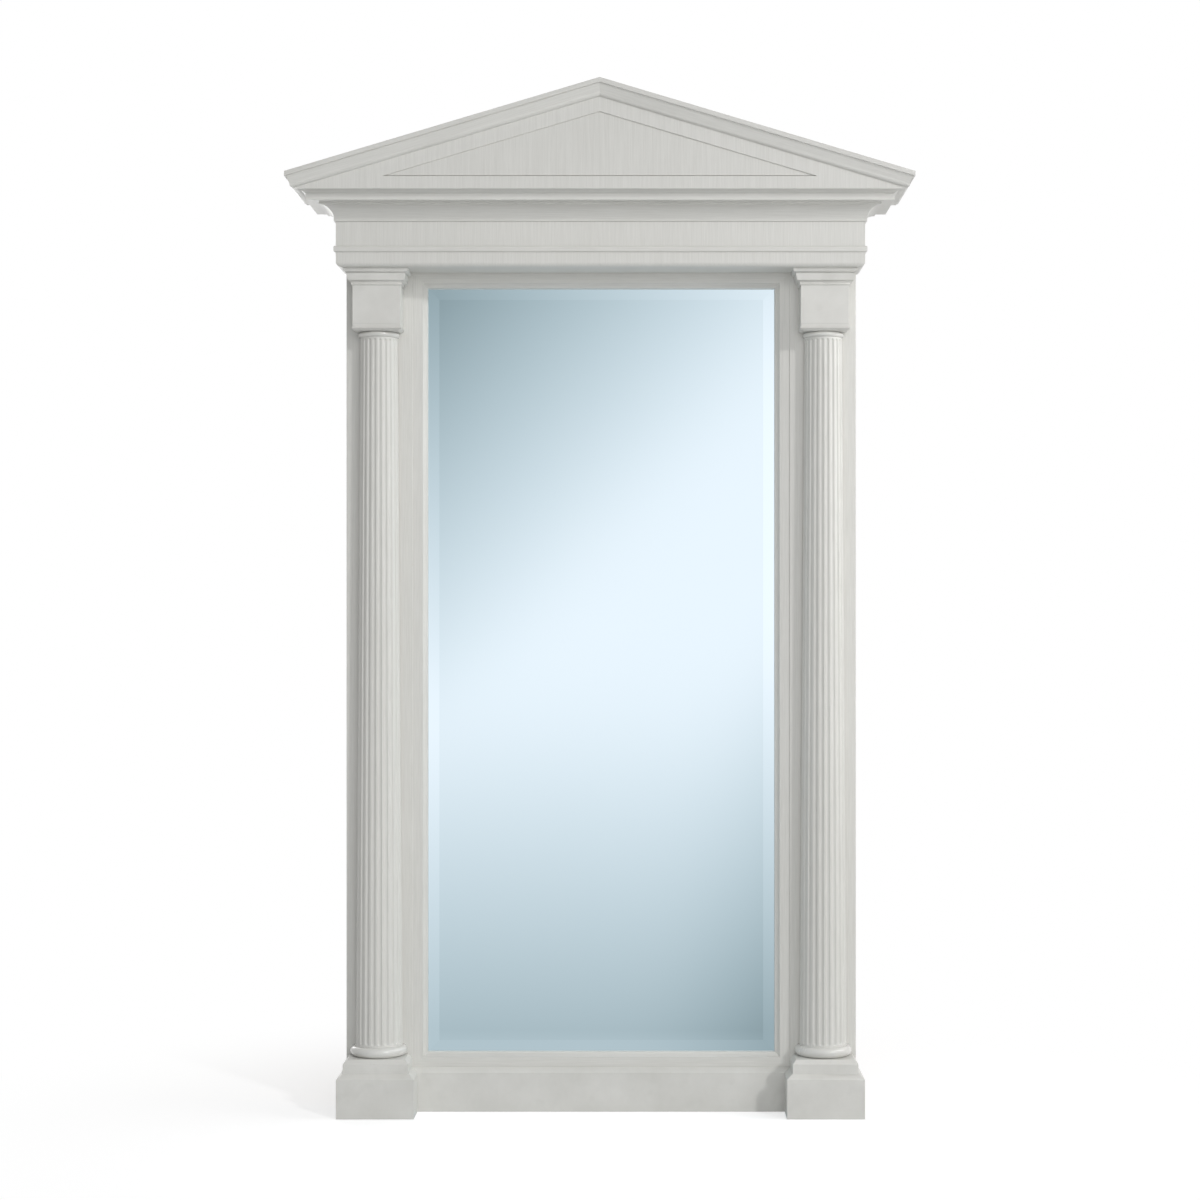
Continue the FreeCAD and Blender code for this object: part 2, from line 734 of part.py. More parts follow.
def make_capitals(dowels):
    half = size.capital_width / 2
    front = column_reach + half
    foot = capital_bottom + size.capital_foot_height
    flare_top = foot + size.capital_flare_height
    rise = [(-size.capital_foot_inset, capital_bottom), (size.capital_flare, foot, capital_hollow_share),
            (ZERO, flare_top), (ZERO, capital_top)]
    block = moulded_block("capital_shape", -column_x, half, front, stile_face, rise)
    both_sides("capital_block", cut("left_capital_block", block, dowels.head))
    bead_top = capital_top + size.capital_bead_height
    cove_top = bead_top + size.capital_cove_height
    fascia_top = cove_top + size.capital_fascia_height
    groove_top = fascia_top + size.capital_groove
    fascia = size.capital_cove + size.capital_fascia_lean
    swell = size.capital_bead_height / 2
    neck = size.capital_bead - swell
    rise = [(neck, capital_top, quarter_round_share),
            (size.capital_bead, capital_top + swell, quarter_round_share),
            (neck, bead_top, capital_hollow_share), (size.capital_cove, cove_top), (fascia, fascia_top),
            (fascia - size.capital_groove, fascia_top), (fascia - size.capital_groove, groove_top),
            (fascia, groove_top, quarter_round_share), (fascia + size.capital_top_bead, frame_top)]
    cap = moulded_block("capital_cap_shape", -column_x, half, front, stile_face, rise)
    both_sides("capital_cap", cut("left_capital_cap", cap, dowels.head))


def make_entablature():
    """A box of boards on the columns, with an ovolo lower edge and applied mouldings on three sides."""
    thick = size.board_thickness
    inner_face = entablature_face - thick
    boards = [(ZERO, frame_top), (size.ovolo_edge, frame_top, quarter_round_share),
              (thick, frame_top + size.ovolo_height), (thick, corona_bottom),
              (ZERO, corona_bottom)]
    node("entablature_front", front_run("entablature_front", stile_outer, inner_face, boards))
    both_sides("entablature_return", left_run("left_entablature_return", stile_outer, inner_face, boards))
    soffit = board("entablature_soffit", -stile_outer, stile_outer, stile_face, inner_face, frame_top,
                   frame_top + size.soffit_thickness)
    node("entablature_soffit", soffit)

    proud = size.taenia_projection
    bevel = size.taenia_bevel
    taenia = [(ZERO, taenia_bottom), (proud - bevel, taenia_bottom), (proud, taenia_bottom + bevel),
              (proud, frieze_bottom - bevel), (proud - bevel, frieze_bottom), (ZERO, frieze_bottom)]
    fillet = size.bed_mould_fillet
    proud = size.bed_mould_projection
    bed = [(ZERO, bed_mould_bottom), (fillet, bed_mould_bottom),
           (fillet, bed_mould_bottom + fillet, -quarter_round_share),
           (proud - fillet, corona_bottom - fillet), (proud, corona_bottom - fillet),
           (proud, corona_bottom), (ZERO, corona_bottom)]
    for name, profile in (("taenia", taenia), ("bed_mould", bed)):
        node(f"{name}_front", front_run(f"{name}_front", entablature_half, entablature_face, profile))
        side = left_run(f"left_{name}_return", entablature_half, entablature_face, profile)
        both_sides(f"{name}_return", side)


def make_cornice():
    node("corona_board", board("corona_board", -corona_half, corona_half, ZERO, corona_face,
                               corona_bottom, cornice_bottom))
    lip = pediment_bottom - size.cornice_lip
    cove = [(ZERO, cornice_bottom, cornice_hollow_share), (size.cornice_cove, lip),
            (size.cornice_cove, pediment_bottom)]
    node("pediment_base", moulded_block("pediment_base", ZERO, corona_half, corona_face, ZERO, cove))


def gable(half, bottom, drop):
    """Triangle under the roof, cut off upright at a half-width, in (x, height)."""
    return [(-half, bottom), (half, bottom), (half, below_roof(half, drop)), (ZERO, below_roof(ZERO, drop)),
            (-half, below_roof(half, drop))]


def triangle(bottom, drop):
    apex = below_roof(ZERO, drop)
    half = (apex - bottom) / slope
    return [(-half, bottom), (half, bottom), (ZERO, apex)]


def rake_section():
    """Face of the moulding at the roof's edge, going up, in (projection, square drop below the roof)."""
    face = size.rake_projection - size.rake_quirk
    return with_bulge([(ZERO, size.rake_height, rake_swell_share),
                       (face - size.rake_lean, size.rake_height - size.rake_ovolo_height),
                       (face, size.rake_fillet), (size.rake_projection, size.rake_fillet),
                       (size.rake_projection, ZERO)])


def make_pediment():
    board_rear = cornice_face - size.pediment_thickness
    opening_drop = size.rake_height + size.rake_border
    sill = pediment_bottom + size.sill_height
    opening = triangle(sill, opening_drop)
    front = prism("pediment_face", "front", gable(cornice_half, pediment_bottom, size.roof_thickness),
                  board_rear, cornice_face)
    hole = prism("tympanum_opening", "front", opening, board_rear - over, cornice_face + over)
    node("pediment_board", cut("pediment_board", front, hole))
    field = prism("tympanum_field", "front", triangle(sill + size.tympanum_gap, opening_drop), board_rear,
                  cornice_face - size.tympanum_recess)
    behind = triangle(sill - size.tympanum_lip, opening_drop - size.tympanum_lip)
    lip = prism("tympanum_lip", "front", behind, board_rear - size.tympanum_lip_thickness, board_rear)
    node("tympanum_panel", fuse("tympanum_panel", field, lip))

    eave_inner = cornice_half - size.eave_rail_depth
    rear_gable = gable(eave_inner, pediment_bottom, size.roof_thickness)
    node("pediment_back", prism("pediment_back", "front", rear_gable, ZERO, size.pediment_back_thickness))
    top = roof_apex
    roof = [(ZERO, top - size.roof_thickness * stretch), (cornice_face, top - size.roof_thickness * stretch),
            (cornice_face, top), (ZERO, top)]
    both_sides("roof_board", raking("right_roof_board", roof, cornice_half), "right", "left")

    section = rake_section()
    rake = [(cornice_face + out, top - drop * stretch, bulge) for out, drop, bulge in section]
    run = raking("rake_run", rake + [(cornice_face, top)], cornice_half + size.rake_projection + over)
    far = size.rake_projection + over
    plan = [(-over, -(cornice_face + far)), (cornice_half + far, -(cornice_face + far)),
            (cornice_half - over, -(cornice_face - over)), (-over, -(cornice_face - over))]
    mitre = prism("rake_mitre", "plan", plan, pediment_bottom - over, roof_apex + over)
    both_sides("rake_moulding", common("right_rake_moulding", run, mitre), "right", "left")

    eave = [(eave_inner, pediment_bottom)]
    for out, drop, bulge in section:
        eave.append((cornice_half + out, below_roof(cornice_half + out, drop), bulge))
    eave += [(cornice_half, below_roof(cornice_half, ZERO)),
             (cornice_half, below_roof(cornice_half, size.roof_thickness)),
             (eave_inner, below_roof(eave_inner, size.roof_thickness))]
    run = prism("eave_run", "front", eave, ZERO, rake_face + over)
    plan = [(eave_inner - over, over), (eave_inner - over, -board_rear), (cornice_half, -board_rear),
            (cornice_half, -cornice_face), (cornice_half + far, -(cornice_face + far)),
            (cornice_half + far, over)]
    mitre = prism("eave_mitre", "plan", plan, pediment_bottom - over, roof_apex + over)
    both_sides("eave_rail", common("right_eave_rail", run, mitre), "right", "left")


def make_anchors():
    """D-ring anchors let into the backs of the stiles; returns the pocket and the screws of the left one."""
    level = frame_top - size.anchor_drop
    floor_reach = size.anchor_pocket_depth
    wire = size.ring_wire / 2
    knuckle = wire + size.knuckle_clearance + size.knuckle_wall
    axis_reach = floor_reach - knuckle
    ring = size.ring_width / 2
    margin = size.anchor_pocket_margin
    pocket_half = size.anchor_pocket_width / 2
    drop = size.ring_leg + ring + wire + margin
    pocket = board("anchor_pocket", -(column_x + pocket_half), -(column_x - pocket_half), -over, floor_reach,
                   level - drop, level + size.strap_length + margin)
    strap_half = size.strap_width / 2
    seat = floor_reach - size.strap_thickness
    plate = board("strap_plate", -(column_x + strap_half), -(column_x - strap_half), seat, floor_reach,
                  level, level + size.strap_length)
    knuckle_half = size.knuckle_length / 2
    barrel = bar("strap_knuckle", "across", knuckle * 2, size.knuckle_length, -(column_x + knuckle_half),
                 axis_reach, level)
    bore = bar("strap_bore", "across", (wire + size.knuckle_clearance) * 2, size.knuckle_length + over + over,
               -(column_x + knuckle_half + over), axis_reach, level)
    screws = [screw(f"anchor_screw_{index}", -column_x, seat, level + size.strap_length * share)
              for index, share in enumerate(anchor_screw_shares)]
    strap = cut("left_anchor_strap", fuse("strap_blank", plate, barrel), bore, *screws)
    node("anchor_straps", group("anchor_straps", *with_mirror("right_strap", strap)))
    node("anchor_screws", group("anchor_screws", *with_mirror("right_anchor_screw", *screws)))

    straight = bar("ring_bar", "across", size.ring_wire, size.ring_width,
                   -(column_x + ring), axis_reach, level)
    legs = []
    corners = []
    for name, x in (("outer", -(column_x + ring)), ("inner", -(column_x - ring))):
        legs.append(bar(f"ring_{name}_leg", "up", size.ring_wire, size.ring_leg,
                        x, axis_reach, level - size.ring_leg))
        corner = doc.addObject("Part::Sphere", f"ring_{name}_corner")
        bind(corner, Radius=wire)
        place(corner, x, axis_reach, level)
        corners.append(corner)
    bow = doc.addObject("Part::Torus", "ring_bow")
    bow.Angle3 = 180
    bow.Placement = FreeCAD.Placement(FreeCAD.Vector(), FreeCAD.Rotation(FreeCAD.Vector(1, 0, 0), -90))
    bind(bow, Radius1=ring, Radius2=wire)
    place(bow, -column_x, axis_reach, level - size.ring_leg)
    both_sides("anchor_ring", fuse("left_anchor_ring", straight, *legs, *corners, bow))
    return SimpleNamespace(pocket=pocket, screws=screws)


def check():
    """Stop if any object failed, or a piece is empty, broken or not made of solids."""
    doc.recompute()
    failed = [obj.Label for obj in doc.Objects if {"Invalid", "Error"} & set(obj.State)]
    broken = [label for label, piece in nodes.items()
              if piece.Shape.isNull() or not piece.Shape.isValid() or not piece.Shape.Solids]
    if failed or broken:
        raise RuntimeError(f"failed objects: {failed}; broken pieces: {broken}")


def write():
    os.makedirs("parts", exist_ok=True)
    for label, piece in nodes.items():
        piece.Shape.exportStep(f"parts/{label}.step")


make_glass()
make_sight_mouldings()
dowels = make_dowels()
anchor = make_anchors()
plinth_shape = left_plinth_shape()
make_frame(dowels, anchor, plinth_shape)
make_plinths(dowels, plinth_shape, make_glides())
make_columns(dowels)
make_capitals(dowels)
make_entablature()
make_cornice()
make_pediment()
check()
write()
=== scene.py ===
import json
import math

import bmesh
import bpy
from bpy.props import FloatProperty, FloatVectorProperty, IntProperty, PointerProperty
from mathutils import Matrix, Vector
from mathutils.bvhtree import BVHTree

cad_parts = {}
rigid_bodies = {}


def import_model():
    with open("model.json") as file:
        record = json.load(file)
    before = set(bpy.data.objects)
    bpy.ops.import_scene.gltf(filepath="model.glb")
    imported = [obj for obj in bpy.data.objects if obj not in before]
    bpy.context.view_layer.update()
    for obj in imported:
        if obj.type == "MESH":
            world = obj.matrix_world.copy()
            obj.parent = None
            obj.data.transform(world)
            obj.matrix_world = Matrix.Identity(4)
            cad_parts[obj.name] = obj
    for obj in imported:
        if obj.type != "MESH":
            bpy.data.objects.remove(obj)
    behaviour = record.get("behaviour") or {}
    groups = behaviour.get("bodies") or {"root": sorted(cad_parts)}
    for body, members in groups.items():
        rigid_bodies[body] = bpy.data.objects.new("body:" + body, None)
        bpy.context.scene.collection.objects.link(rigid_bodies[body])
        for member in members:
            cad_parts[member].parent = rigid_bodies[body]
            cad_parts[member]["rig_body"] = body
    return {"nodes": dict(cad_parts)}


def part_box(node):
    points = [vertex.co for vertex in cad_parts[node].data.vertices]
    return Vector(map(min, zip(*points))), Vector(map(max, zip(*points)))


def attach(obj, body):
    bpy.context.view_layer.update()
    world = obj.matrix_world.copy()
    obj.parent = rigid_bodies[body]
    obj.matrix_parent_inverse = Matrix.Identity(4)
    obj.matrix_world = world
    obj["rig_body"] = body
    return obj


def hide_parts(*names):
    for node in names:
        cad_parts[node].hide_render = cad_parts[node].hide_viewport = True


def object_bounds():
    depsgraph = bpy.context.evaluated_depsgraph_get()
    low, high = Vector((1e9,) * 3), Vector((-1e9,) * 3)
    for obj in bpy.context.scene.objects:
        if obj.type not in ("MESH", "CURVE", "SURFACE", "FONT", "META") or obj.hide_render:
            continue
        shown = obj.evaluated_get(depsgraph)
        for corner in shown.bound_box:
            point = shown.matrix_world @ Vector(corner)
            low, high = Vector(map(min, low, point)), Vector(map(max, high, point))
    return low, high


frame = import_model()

bl_info = {
    "name": "Column Floor Mirror",
    "version": (1, 0, 0),
    "blender": (4, 5, 0),
    "location": "View3D > Sidebar > Floor Mirror",
    "description": "Finishes of a floor mirror with fluted columns, and the studio that shows it",
    "category": "Object",
}

# Metres. +Z is up, the front faces -Y and the flat back is the plane at the highest Y.
CAD_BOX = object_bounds()
MIDDLE = (CAD_BOX[0] + CAD_BOX[1]) / 2
BACK_PLANE = CAD_BOX[1].y

# Painted pieces, by the way that the brush and the grain run on them
UPRIGHT_BOARDS = ("left_stile", "right_stile", "entablature_front", "left_entablature_return",
                  "right_entablature_return", "pediment_board", "tympanum_panel")
LEVEL_BOARDS = ("top_rail", "bottom_rail", "entablature_soffit", "corona_board")
SMOOTH_BOARDS = ("base_rail", "left_plinth", "right_plinth")
UPRIGHT_MOULDINGS = ("left_sight_moulding", "right_sight_moulding")
LEVEL_MOULDINGS = ("top_sight_moulding", "bottom_sight_moulding", "taenia_front", "bed_mould_front",
                   "pediment_base")
DEPTH_MOULDINGS = ("left_taenia_return", "right_taenia_return", "left_bed_mould_return",
                   "right_bed_mould_return", "left_eave_rail", "right_eave_rail")
TURNED_PIECES = ("left_column_base", "right_column_base", "left_necking_ring", "right_necking_ring")
COLUMN_BLOCKS = ("left_plinth_cap", "right_plinth_cap", "left_capital_block", "right_capital_block")
CAPITAL_CAPS = ("left_capital_cap", "right_capital_cap")
SIDES = ("left", "right")
GLIDES = ("left_front_glide", "left_rear_glide", "right_front_glide", "right_rear_glide")

# Corners this close are one, and so are faces that turn by less than this
WELD_DISTANCE = 1e-6
FLAT_ANGLE = math.radians(0.3)
# An edge that turns by more than this, and is more than this many roundings long, is an arris
ARRIS_ANGLE = math.radians(25)
ARRIS_LENGTH_SHARE = 6
# Edges that turn by more than the first are shaded sharp, and normals that stray by more than the second
# are mended
SHARP_ANGLE = math.radians(35)
STRAY_ANGLE = math.radians(40)
# Two pieces are joined where they come this close, which is tried at these shares of an edge's length, and
# at this many roundings in from it
TOUCH_DISTANCE = 0.0001
TRIAL_SHARES = (0.2, 0.5, 0.8)
TRIAL_DEPTH = 2


class MirrorSizes(bpy.types.PropertyGroup):
    """Sizes of the finishing work that the frame leaves open."""

    ease: FloatProperty(
        name="Eased Edge", description="Rounding of the arrises under the paint",
        default=0.0008, min=0.0002, max=0.003, unit="LENGTH")
    fine_ease: FloatProperty(
        name="Fine Eased Edge", description="Rounding of the arrises on small mouldings",
        default=0.0004, min=0.0001, max=0.001, unit="LENGTH")
    flute_count: IntProperty(
        name="Flutes", description="Flutes round a whole column", default=22, min=8, max=40)
    shaft_foot_width: FloatProperty(
        name="Shaft Foot Width", description="Width of a column shaft above its base",
        default=0.103, unit="LENGTH")
    shaft_head_width: FloatProperty(
        name="Shaft Head Width", description="Width of a column shaft under its ring",
        default=0.082, unit="LENGTH")
    flute_radius: FloatProperty(
        name="Flute Radius", description="Radius of the round cutter at the foot of the shaft",
        default=0.0056, unit="LENGTH")
    flute_depth: FloatProperty(
        name="Flute Depth", description="Depth of a flute at the foot of the shaft",
        default=0.003, unit="LENGTH")
    flute_margin: FloatProperty(
        name="Flute Margin", description="Plain band at each end of the shaft",
        default=0.003, unit="LENGTH")
    flute_arris: FloatProperty(
        name="Flute Arris", description="Softening of the edge between a flute and its land",
        default=0.0006, unit="LENGTH")
    screw_head_height: FloatProperty(
        name="Screw Head Height", description="Height of a pan head at its middle",
        default=0.0024, unit="LENGTH")
    recess_width: FloatProperty(
        name="Recess Width", description="Width of one wing of the cross recess",
        default=0.0011, unit="LENGTH")
    recess_length: FloatProperty(
        name="Recess Length", description="Length of the cross recess from wing to wing",
        default=0.0046, unit="LENGTH")
    recess_depth: FloatProperty(
        name="Recess Depth", description="Depth of the cross recess", default=0.0013, unit="LENGTH")


class MirrorColours(bpy.types.PropertyGroup):
    """Colours of the finishes."""

    paint: FloatVectorProperty(
        name="Paint", description="Off-white satin paint", subtype="COLOR", min=0, max=1,
        default=(0.675, 0.666, 0.633))
    glaze: FloatVectorProperty(
        name="Glaze", description="Greyer paint that the brush leaves between its ridges", subtype="COLOR",
        min=0, max=1, default=(0.560, 0.555, 0.520))
    ridge: FloatVectorProperty(
        name="Ridge", description="Fuller paint on the brush ridges", subtype="COLOR", min=0, max=1,
        default=(0.735, 0.730, 0.700))
    timber: FloatVectorProperty(
        name="Timber", description="Wood that shows at rubbed arrises and on the back", subtype="COLOR",
        min=0, max=1, default=(0.47, 0.36, 0.24))
    timber_dark: FloatVectorProperty(
        name="Timber Grain", description="Darker lines of the bare wood", subtype="COLOR", min=0, max=1,
        default=(0.33, 0.23, 0.135))
    silver: FloatVectorProperty(
        name="Silver", description="Silvered glass", subtype="COLOR", min=0, max=1,
        default=(0.90, 0.95, 0.965))
    hardboard: FloatVectorProperty(
        name="Hardboard", description="Pressed board behind the glass", subtype="COLOR", min=0, max=1,
        default=(0.225, 0.125, 0.062))
    beech: FloatVectorProperty(
        name="Beech", description="Dowels", subtype="COLOR", min=0, max=1, default=(0.56, 0.38, 0.22))
    zinc: FloatVectorProperty(
        name="Zinc", description="Plated steel of the anchors and screws", subtype="COLOR", min=0, max=1,
        default=(0.60, 0.61, 0.62))
    nylon: FloatVectorProperty(
        name="Nylon", description="Pads of the glides", subtype="COLOR", min=0, max=1,
        default=(0.050, 0.050, 0.053))
    rubber: FloatVectorProperty(
        name="Rubber", description="Blocks that the glass sits on", subtype="COLOR", min=0, max=1,
        default=(0.030, 0.030, 0.031))


class MirrorStudio(bpy.types.PropertyGroup):
    """Camera and light."""

    camera_place: FloatVectorProperty(
        name="Camera", description="Where the camera stands", subtype="TRANSLATION", unit="LENGTH",
        default=(0.085, -5.1195, 1.064))
    lens: FloatProperty(
        name="Lens", description="Focal length in millimetres on a 36 mm sensor", default=71.2,
        min=20, max=200)
    frame_shift: FloatVectorProperty(
        name="Shift", description="Shift of the picture, as a share of its width", size=2,
        default=(-0.0333, 0.0208))
    key_azimuth: FloatProperty(
        name="Key Azimuth", description="How far to the right of the front the key light stands",
        subtype="ANGLE", default=math.radians(38))
    key_elevation: FloatProperty(
        name="Key Elevation", description="How far above the level the key light stands",
        subtype="ANGLE", default=math.radians(25.6))
    key_spread: FloatProperty(
        name="Key Spread", description="Breadth of the key light, which softens its shadows",
        subtype="ANGLE", default=math.radians(5))
    key_strength: FloatProperty(
        name="Key Strength", description="Light of the key in watts per square metre", default=0.78, min=0)
    box_place: FloatVectorProperty(
        name="Light Box", description="Middle of the light box at the right", subtype="TRANSLATION",
        unit="LENGTH", default=(2.4, -0.4, 1.9))
    box_size: FloatProperty(
        name="Light Box Size", description="Side of the light box", default=1.4, unit="LENGTH")
    box_power: FloatProperty(
        name="Light Box Power", description="Power of the light box in watts", default=24, min=0)
    front_place: FloatVectorProperty(
        name="Front Screen", description="Middle of the soft screen in front", subtype="TRANSLATION",
        unit="LENGTH", default=(0.4, -4.5, 2.2))
    front_size: FloatProperty(
        name="Front Screen Size", description="Side of the soft screen in front", default=3.0,
        unit="LENGTH")
    front_power: FloatProperty(
        name="Front Screen Power", description="Power of the soft screen in watts", default=66, min=0)
    rear_place: FloatVectorProperty(
        name="Rear Screen", description="Middle of the soft screen behind, at the left",
        subtype="TRANSLATION", unit="LENGTH", default=(-2.0, 3.2, 2.2))
    rear_size: FloatProperty(
        name="Rear Screen Size", description="Side of the soft screen behind", default=2.5, unit="LENGTH")
    rear_power: FloatProperty(
        name="Rear Screen Power", description="Power of the rear screen in watts", default=45, min=0)
    fill: FloatProperty(
        name="Fill", description="Strength of the even light all round", default=0.28, min=0)
    card_gap: FloatProperty(
        name="Card Gap", description="From the back of the mirror to the card that the glass reflects",
        default=0.71, unit="LENGTH")


class Field:
    """A number in a node tree. Arithmetic on it adds Math nodes."""

    def __init__(self, graph, socket):
        self.graph = graph
        self.socket = socket

    def __add__(self, other):
        return self.graph.math("ADD", self, other)

    def __sub__(self, other):
        return self.graph.math("SUBTRACT", self, other)

    def __rsub__(self, other):
        return self.graph.math("SUBTRACT", other, self)

    def __mul__(self, other):
        return self.graph.math("MULTIPLY", self, other)

    def __truediv__(self, other):
        return self.graph.math("DIVIDE", self, other)

    __radd__ = __add__
    __rmul__ = __mul__


class Graph:
    """A node tree under construction."""

    def __init__(self, tree):
        self.tree = tree
        tree.nodes.clear()

    def node(self, kind, inputs=None, **options):
        made = self.tree.nodes.new(kind)
        for name, value in options.items():
            setattr(made, name, value)
        for key, value in (inputs or {}).items():
            self.feed(made.inputs[key], value)
        return made

    def feed(self, socket, value):
        if isinstance(value, Field):
            value = value.socket
        if isinstance(value, bpy.types.NodeSocket):
            self.tree.links.new(value, socket)
        else:
            socket.default_value = value

    def set_inputs(self, node, **values):
        """Feeds inputs by their names, written as Python names."""
        for label, value in values.items():
            self.feed(node.inputs[label.replace("_", " ").title()], value)

    def math(self, operation, *values):
        made = self.node("ShaderNodeMath", dict(enumerate(values)), operation=operation)
        return Field(self, made.outputs[0])

    def remap(self, value, low, high, to_low=0.0, to_high=1.0, curve="LINEAR"):
        """The value's place between low and high, held inside the new range."""
        inputs = {"Value": value, "From Min": low, "From Max": high, "To Min": to_low, "To Max": to_high}
        return Field(self, self.node("ShaderNodeMapRange", inputs, interpolation_type=curve).outputs[0])

    def split(self, vector):
        made = self.node("ShaderNodeSeparateXYZ", {0: vector})
        return [Field(self, socket) for socket in made.outputs]

    def join(self, x, y, z):
        return self.node("ShaderNodeCombineXYZ", {0: x, 1: y, 2: z}).outputs[0]

    def place(self):
        return self.node("ShaderNodeTexCoord").outputs["Object"]

    def noise(self, vector, scale, detail, roughness):
        inputs = {"Vector": vector, "Scale": scale, "Detail": detail, "Roughness": roughness}
        return Field(self, self.node("ShaderNodeTexNoise", inputs).outputs[0])

    def stretched(self, vector, sizes, turn=0.0):
        """Coordinates in which a pattern of unit size has the given sizes, turned about Y."""
        inputs = {"Vector": vector, "Rotation": (0.0, turn, 0.0), "Scale": sizes}
        return self.node("ShaderNodeMapping", inputs, vector_type="TEXTURE").outputs[0]

    def mix(self, factor, first, second):
        made = self.node("ShaderNodeMix", {0: factor, 6: first, 7: second}, data_type="RGBA")
        return made.outputs[2]

    def bump(self, height, strength, distance):
        inputs = {"Strength": strength, "Distance": distance, "Height": height}
        return self.node("ShaderNodeBump", inputs).outputs[0]

    def seen_rays(self):
        """1 for rays from the camera, in reflections and through glass, and 0 for light on surfaces."""
        rays = self.node("ShaderNodeLightPath").outputs
        shown = self.math("MAXIMUM", rays["Is Camera Ray"], rays["Is Glossy Ray"])
        return self.math("MAXIMUM", shown, rays["Is Transmission Ray"])


BLACK = (0.0, 0.0, 0.0)
WHITE = (1.0, 1.0, 1.0)


def rgba(colour):
    return (*colour, 1.0)


def empty_material(name):
    material = bpy.data.materials.new(name)
    material.use_nodes = True
    return material, Graph(material.node_tree)


def new_material(name, **constants):
    """A material with one surface shader, whose even values are set on its own sockets."""
    material, graph = empty_material(name)
    shader = graph.node("ShaderNodeBsdfPrincipled")
    graph.set_inputs(shader, **constants)
    graph.node("ShaderNodeOutputMaterial", {"Surface": shader.outputs[0]})
    return material, graph, shader


def once(make):
    """A function whose results are made at their first use and then shared."""
    made = {}

    def shared(*kind):
        if kind not in made:
            made[kind] = make(*kind)
        return made[kind]

    return shared


# The span in which most of a noise lies. The noises of a finish are given as scale, detail and roughness,
# and its relief as strength and depth.
NOISE_SPAN = (0.3, 0.7)

# Length and breadth of a brush streak, and how much of it the last coat covers. A smooth piece was
# rubbed down between coats and has no streaks.
STREAK_LENGTH = 0.09
STREAK_BREADTH = 0.0026
LAST_COAT = 0.62
SMOOTH_GRAINS = ("smooth", "turned")
STREAK_NOISE = (1.0, 4.0, 0.62)
BAND_NOISE = (0.22, 2.0, 0.5)
CLOUD_NOISE = (3.0, 2.0, 0.5)
# Shares of the streaks, of broader bands and of clouds in the tone of the paint, and the span of their sum
TONE_SHARES = (0.7, 0.12, 0.18)
TONE_SPAN = (0.36, 0.64)
# Noise above which a pore or a rubbed spot of an arris shows, and how strongly it does
PORE_NOISE = (2.7, 1.0, 0.4)
PORE_SPAN = (0.60, 0.74, 0.0, 0.25)
RUBBED_NOISE = (70.0, 3.0, 0.6)
RUBBED_SPAN = (0.58, 0.72, 0.0, 0.22)
# Shares of streaks and bands in the relief of the paint, and its roughness
RELIEF_SHARES = (0.7, 0.3)
PAINT_RELIEF = (0.12, 0.0005)
SATIN = (0.32, 0.46)
TURNED_GLOSS = (0.20, 0.28)
TURNED_VARNISH = {"coat_weight": 0.8, "coat_roughness": 0.12}
# How far a face has to look back, as a share, before its paint is thin, and how bare it is there
REAR_FACING = (0.6, 0.9)
WASH_NOISE = (9.0, 4.0, 0.6)
WASH_SPAN = (0.36, 0.60, 0.74, 0.97)
WASH_ROUGHNESS = 0.3


def roof_slope():
    """Angle of the roof, from its ridge and the top of its eave."""
    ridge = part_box("right_roof_board")[1]
    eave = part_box("right_eave_rail")[1]
    return math.atan2(ridge.z - eave.z, ridge.x)


def streak_sizes(grain):
    if grain in SMOOTH_GRAINS:
        return (STREAK_LENGTH,) * 3
    along = {"upright": 2, "depth": 1}.get(grain, 0)
    return tuple(STREAK_LENGTH if axis == along else STREAK_BREADTH for axis in range(3))


@once
def painted_wood(grain):
    """Satin off-white paint on wood: fine streaks along the grain, rubbed arrises, a thin back."""
    colours = bpy.context.scene.mirror_colours
    varnish = TURNED_VARNISH if grain == "turned" else {}
    material, graph, shader = new_material(f"painted_wood_{grain}", **varnish)
    place = graph.place()
    turn = {"left_slope": -roof_slope(), "right_slope": roof_slope()}.get(grain, 0.0)
    along = graph.stretched(place, streak_sizes(grain), turn)
    streaks = graph.noise(along, *STREAK_NOISE)
    bands = graph.noise(along, *BAND_NOISE)
    clouds = graph.noise(place, *CLOUD_NOISE)
    pores = graph.remap(graph.noise(along, *PORE_NOISE), *PORE_SPAN)
    tone = streaks * TONE_SHARES[0] + bands * TONE_SHARES[1] + clouds * TONE_SHARES[2]
    ground = graph.mix(graph.remap(tone, *TONE_SPAN), rgba(colours.glaze), rgba(colours.ridge))
    ground = graph.mix(LAST_COAT, ground, rgba(colours.paint))
    ground = graph.mix(pores, ground, rgba(colours.glaze))
    arris = Field(graph, graph.node("ShaderNodeAttribute", attribute_name="arris").outputs["Fac"])
    rubbed = arris * graph.remap(graph.noise(place, *RUBBED_NOISE), *RUBBED_SPAN)
    ground = graph.mix(rubbed, ground, rgba(colours.timber))
    normal = graph.node("ShaderNodeTexCoord").outputs["Normal"]
    rear = graph.remap(graph.split(normal)[1], *REAR_FACING)
    thin = rear * graph.remap(graph.noise(place, *WASH_NOISE), *WASH_SPAN)
    bare = graph.mix(streaks, rgba(colours.timber_dark), rgba(colours.timber))
    polish = TURNED_GLOSS if grain == "turned" else SATIN
    relief = streaks * RELIEF_SHARES[0] + bands * RELIEF_SHARES[1]
    graph.set_inputs(
        shader, base_color=graph.mix(thin, ground, bare), normal=graph.bump(relief, *PAINT_RELIEF),
        roughness=graph.remap(streaks, *NOISE_SPAN, *polish) + thin * WASH_ROUGHNESS)
    return material


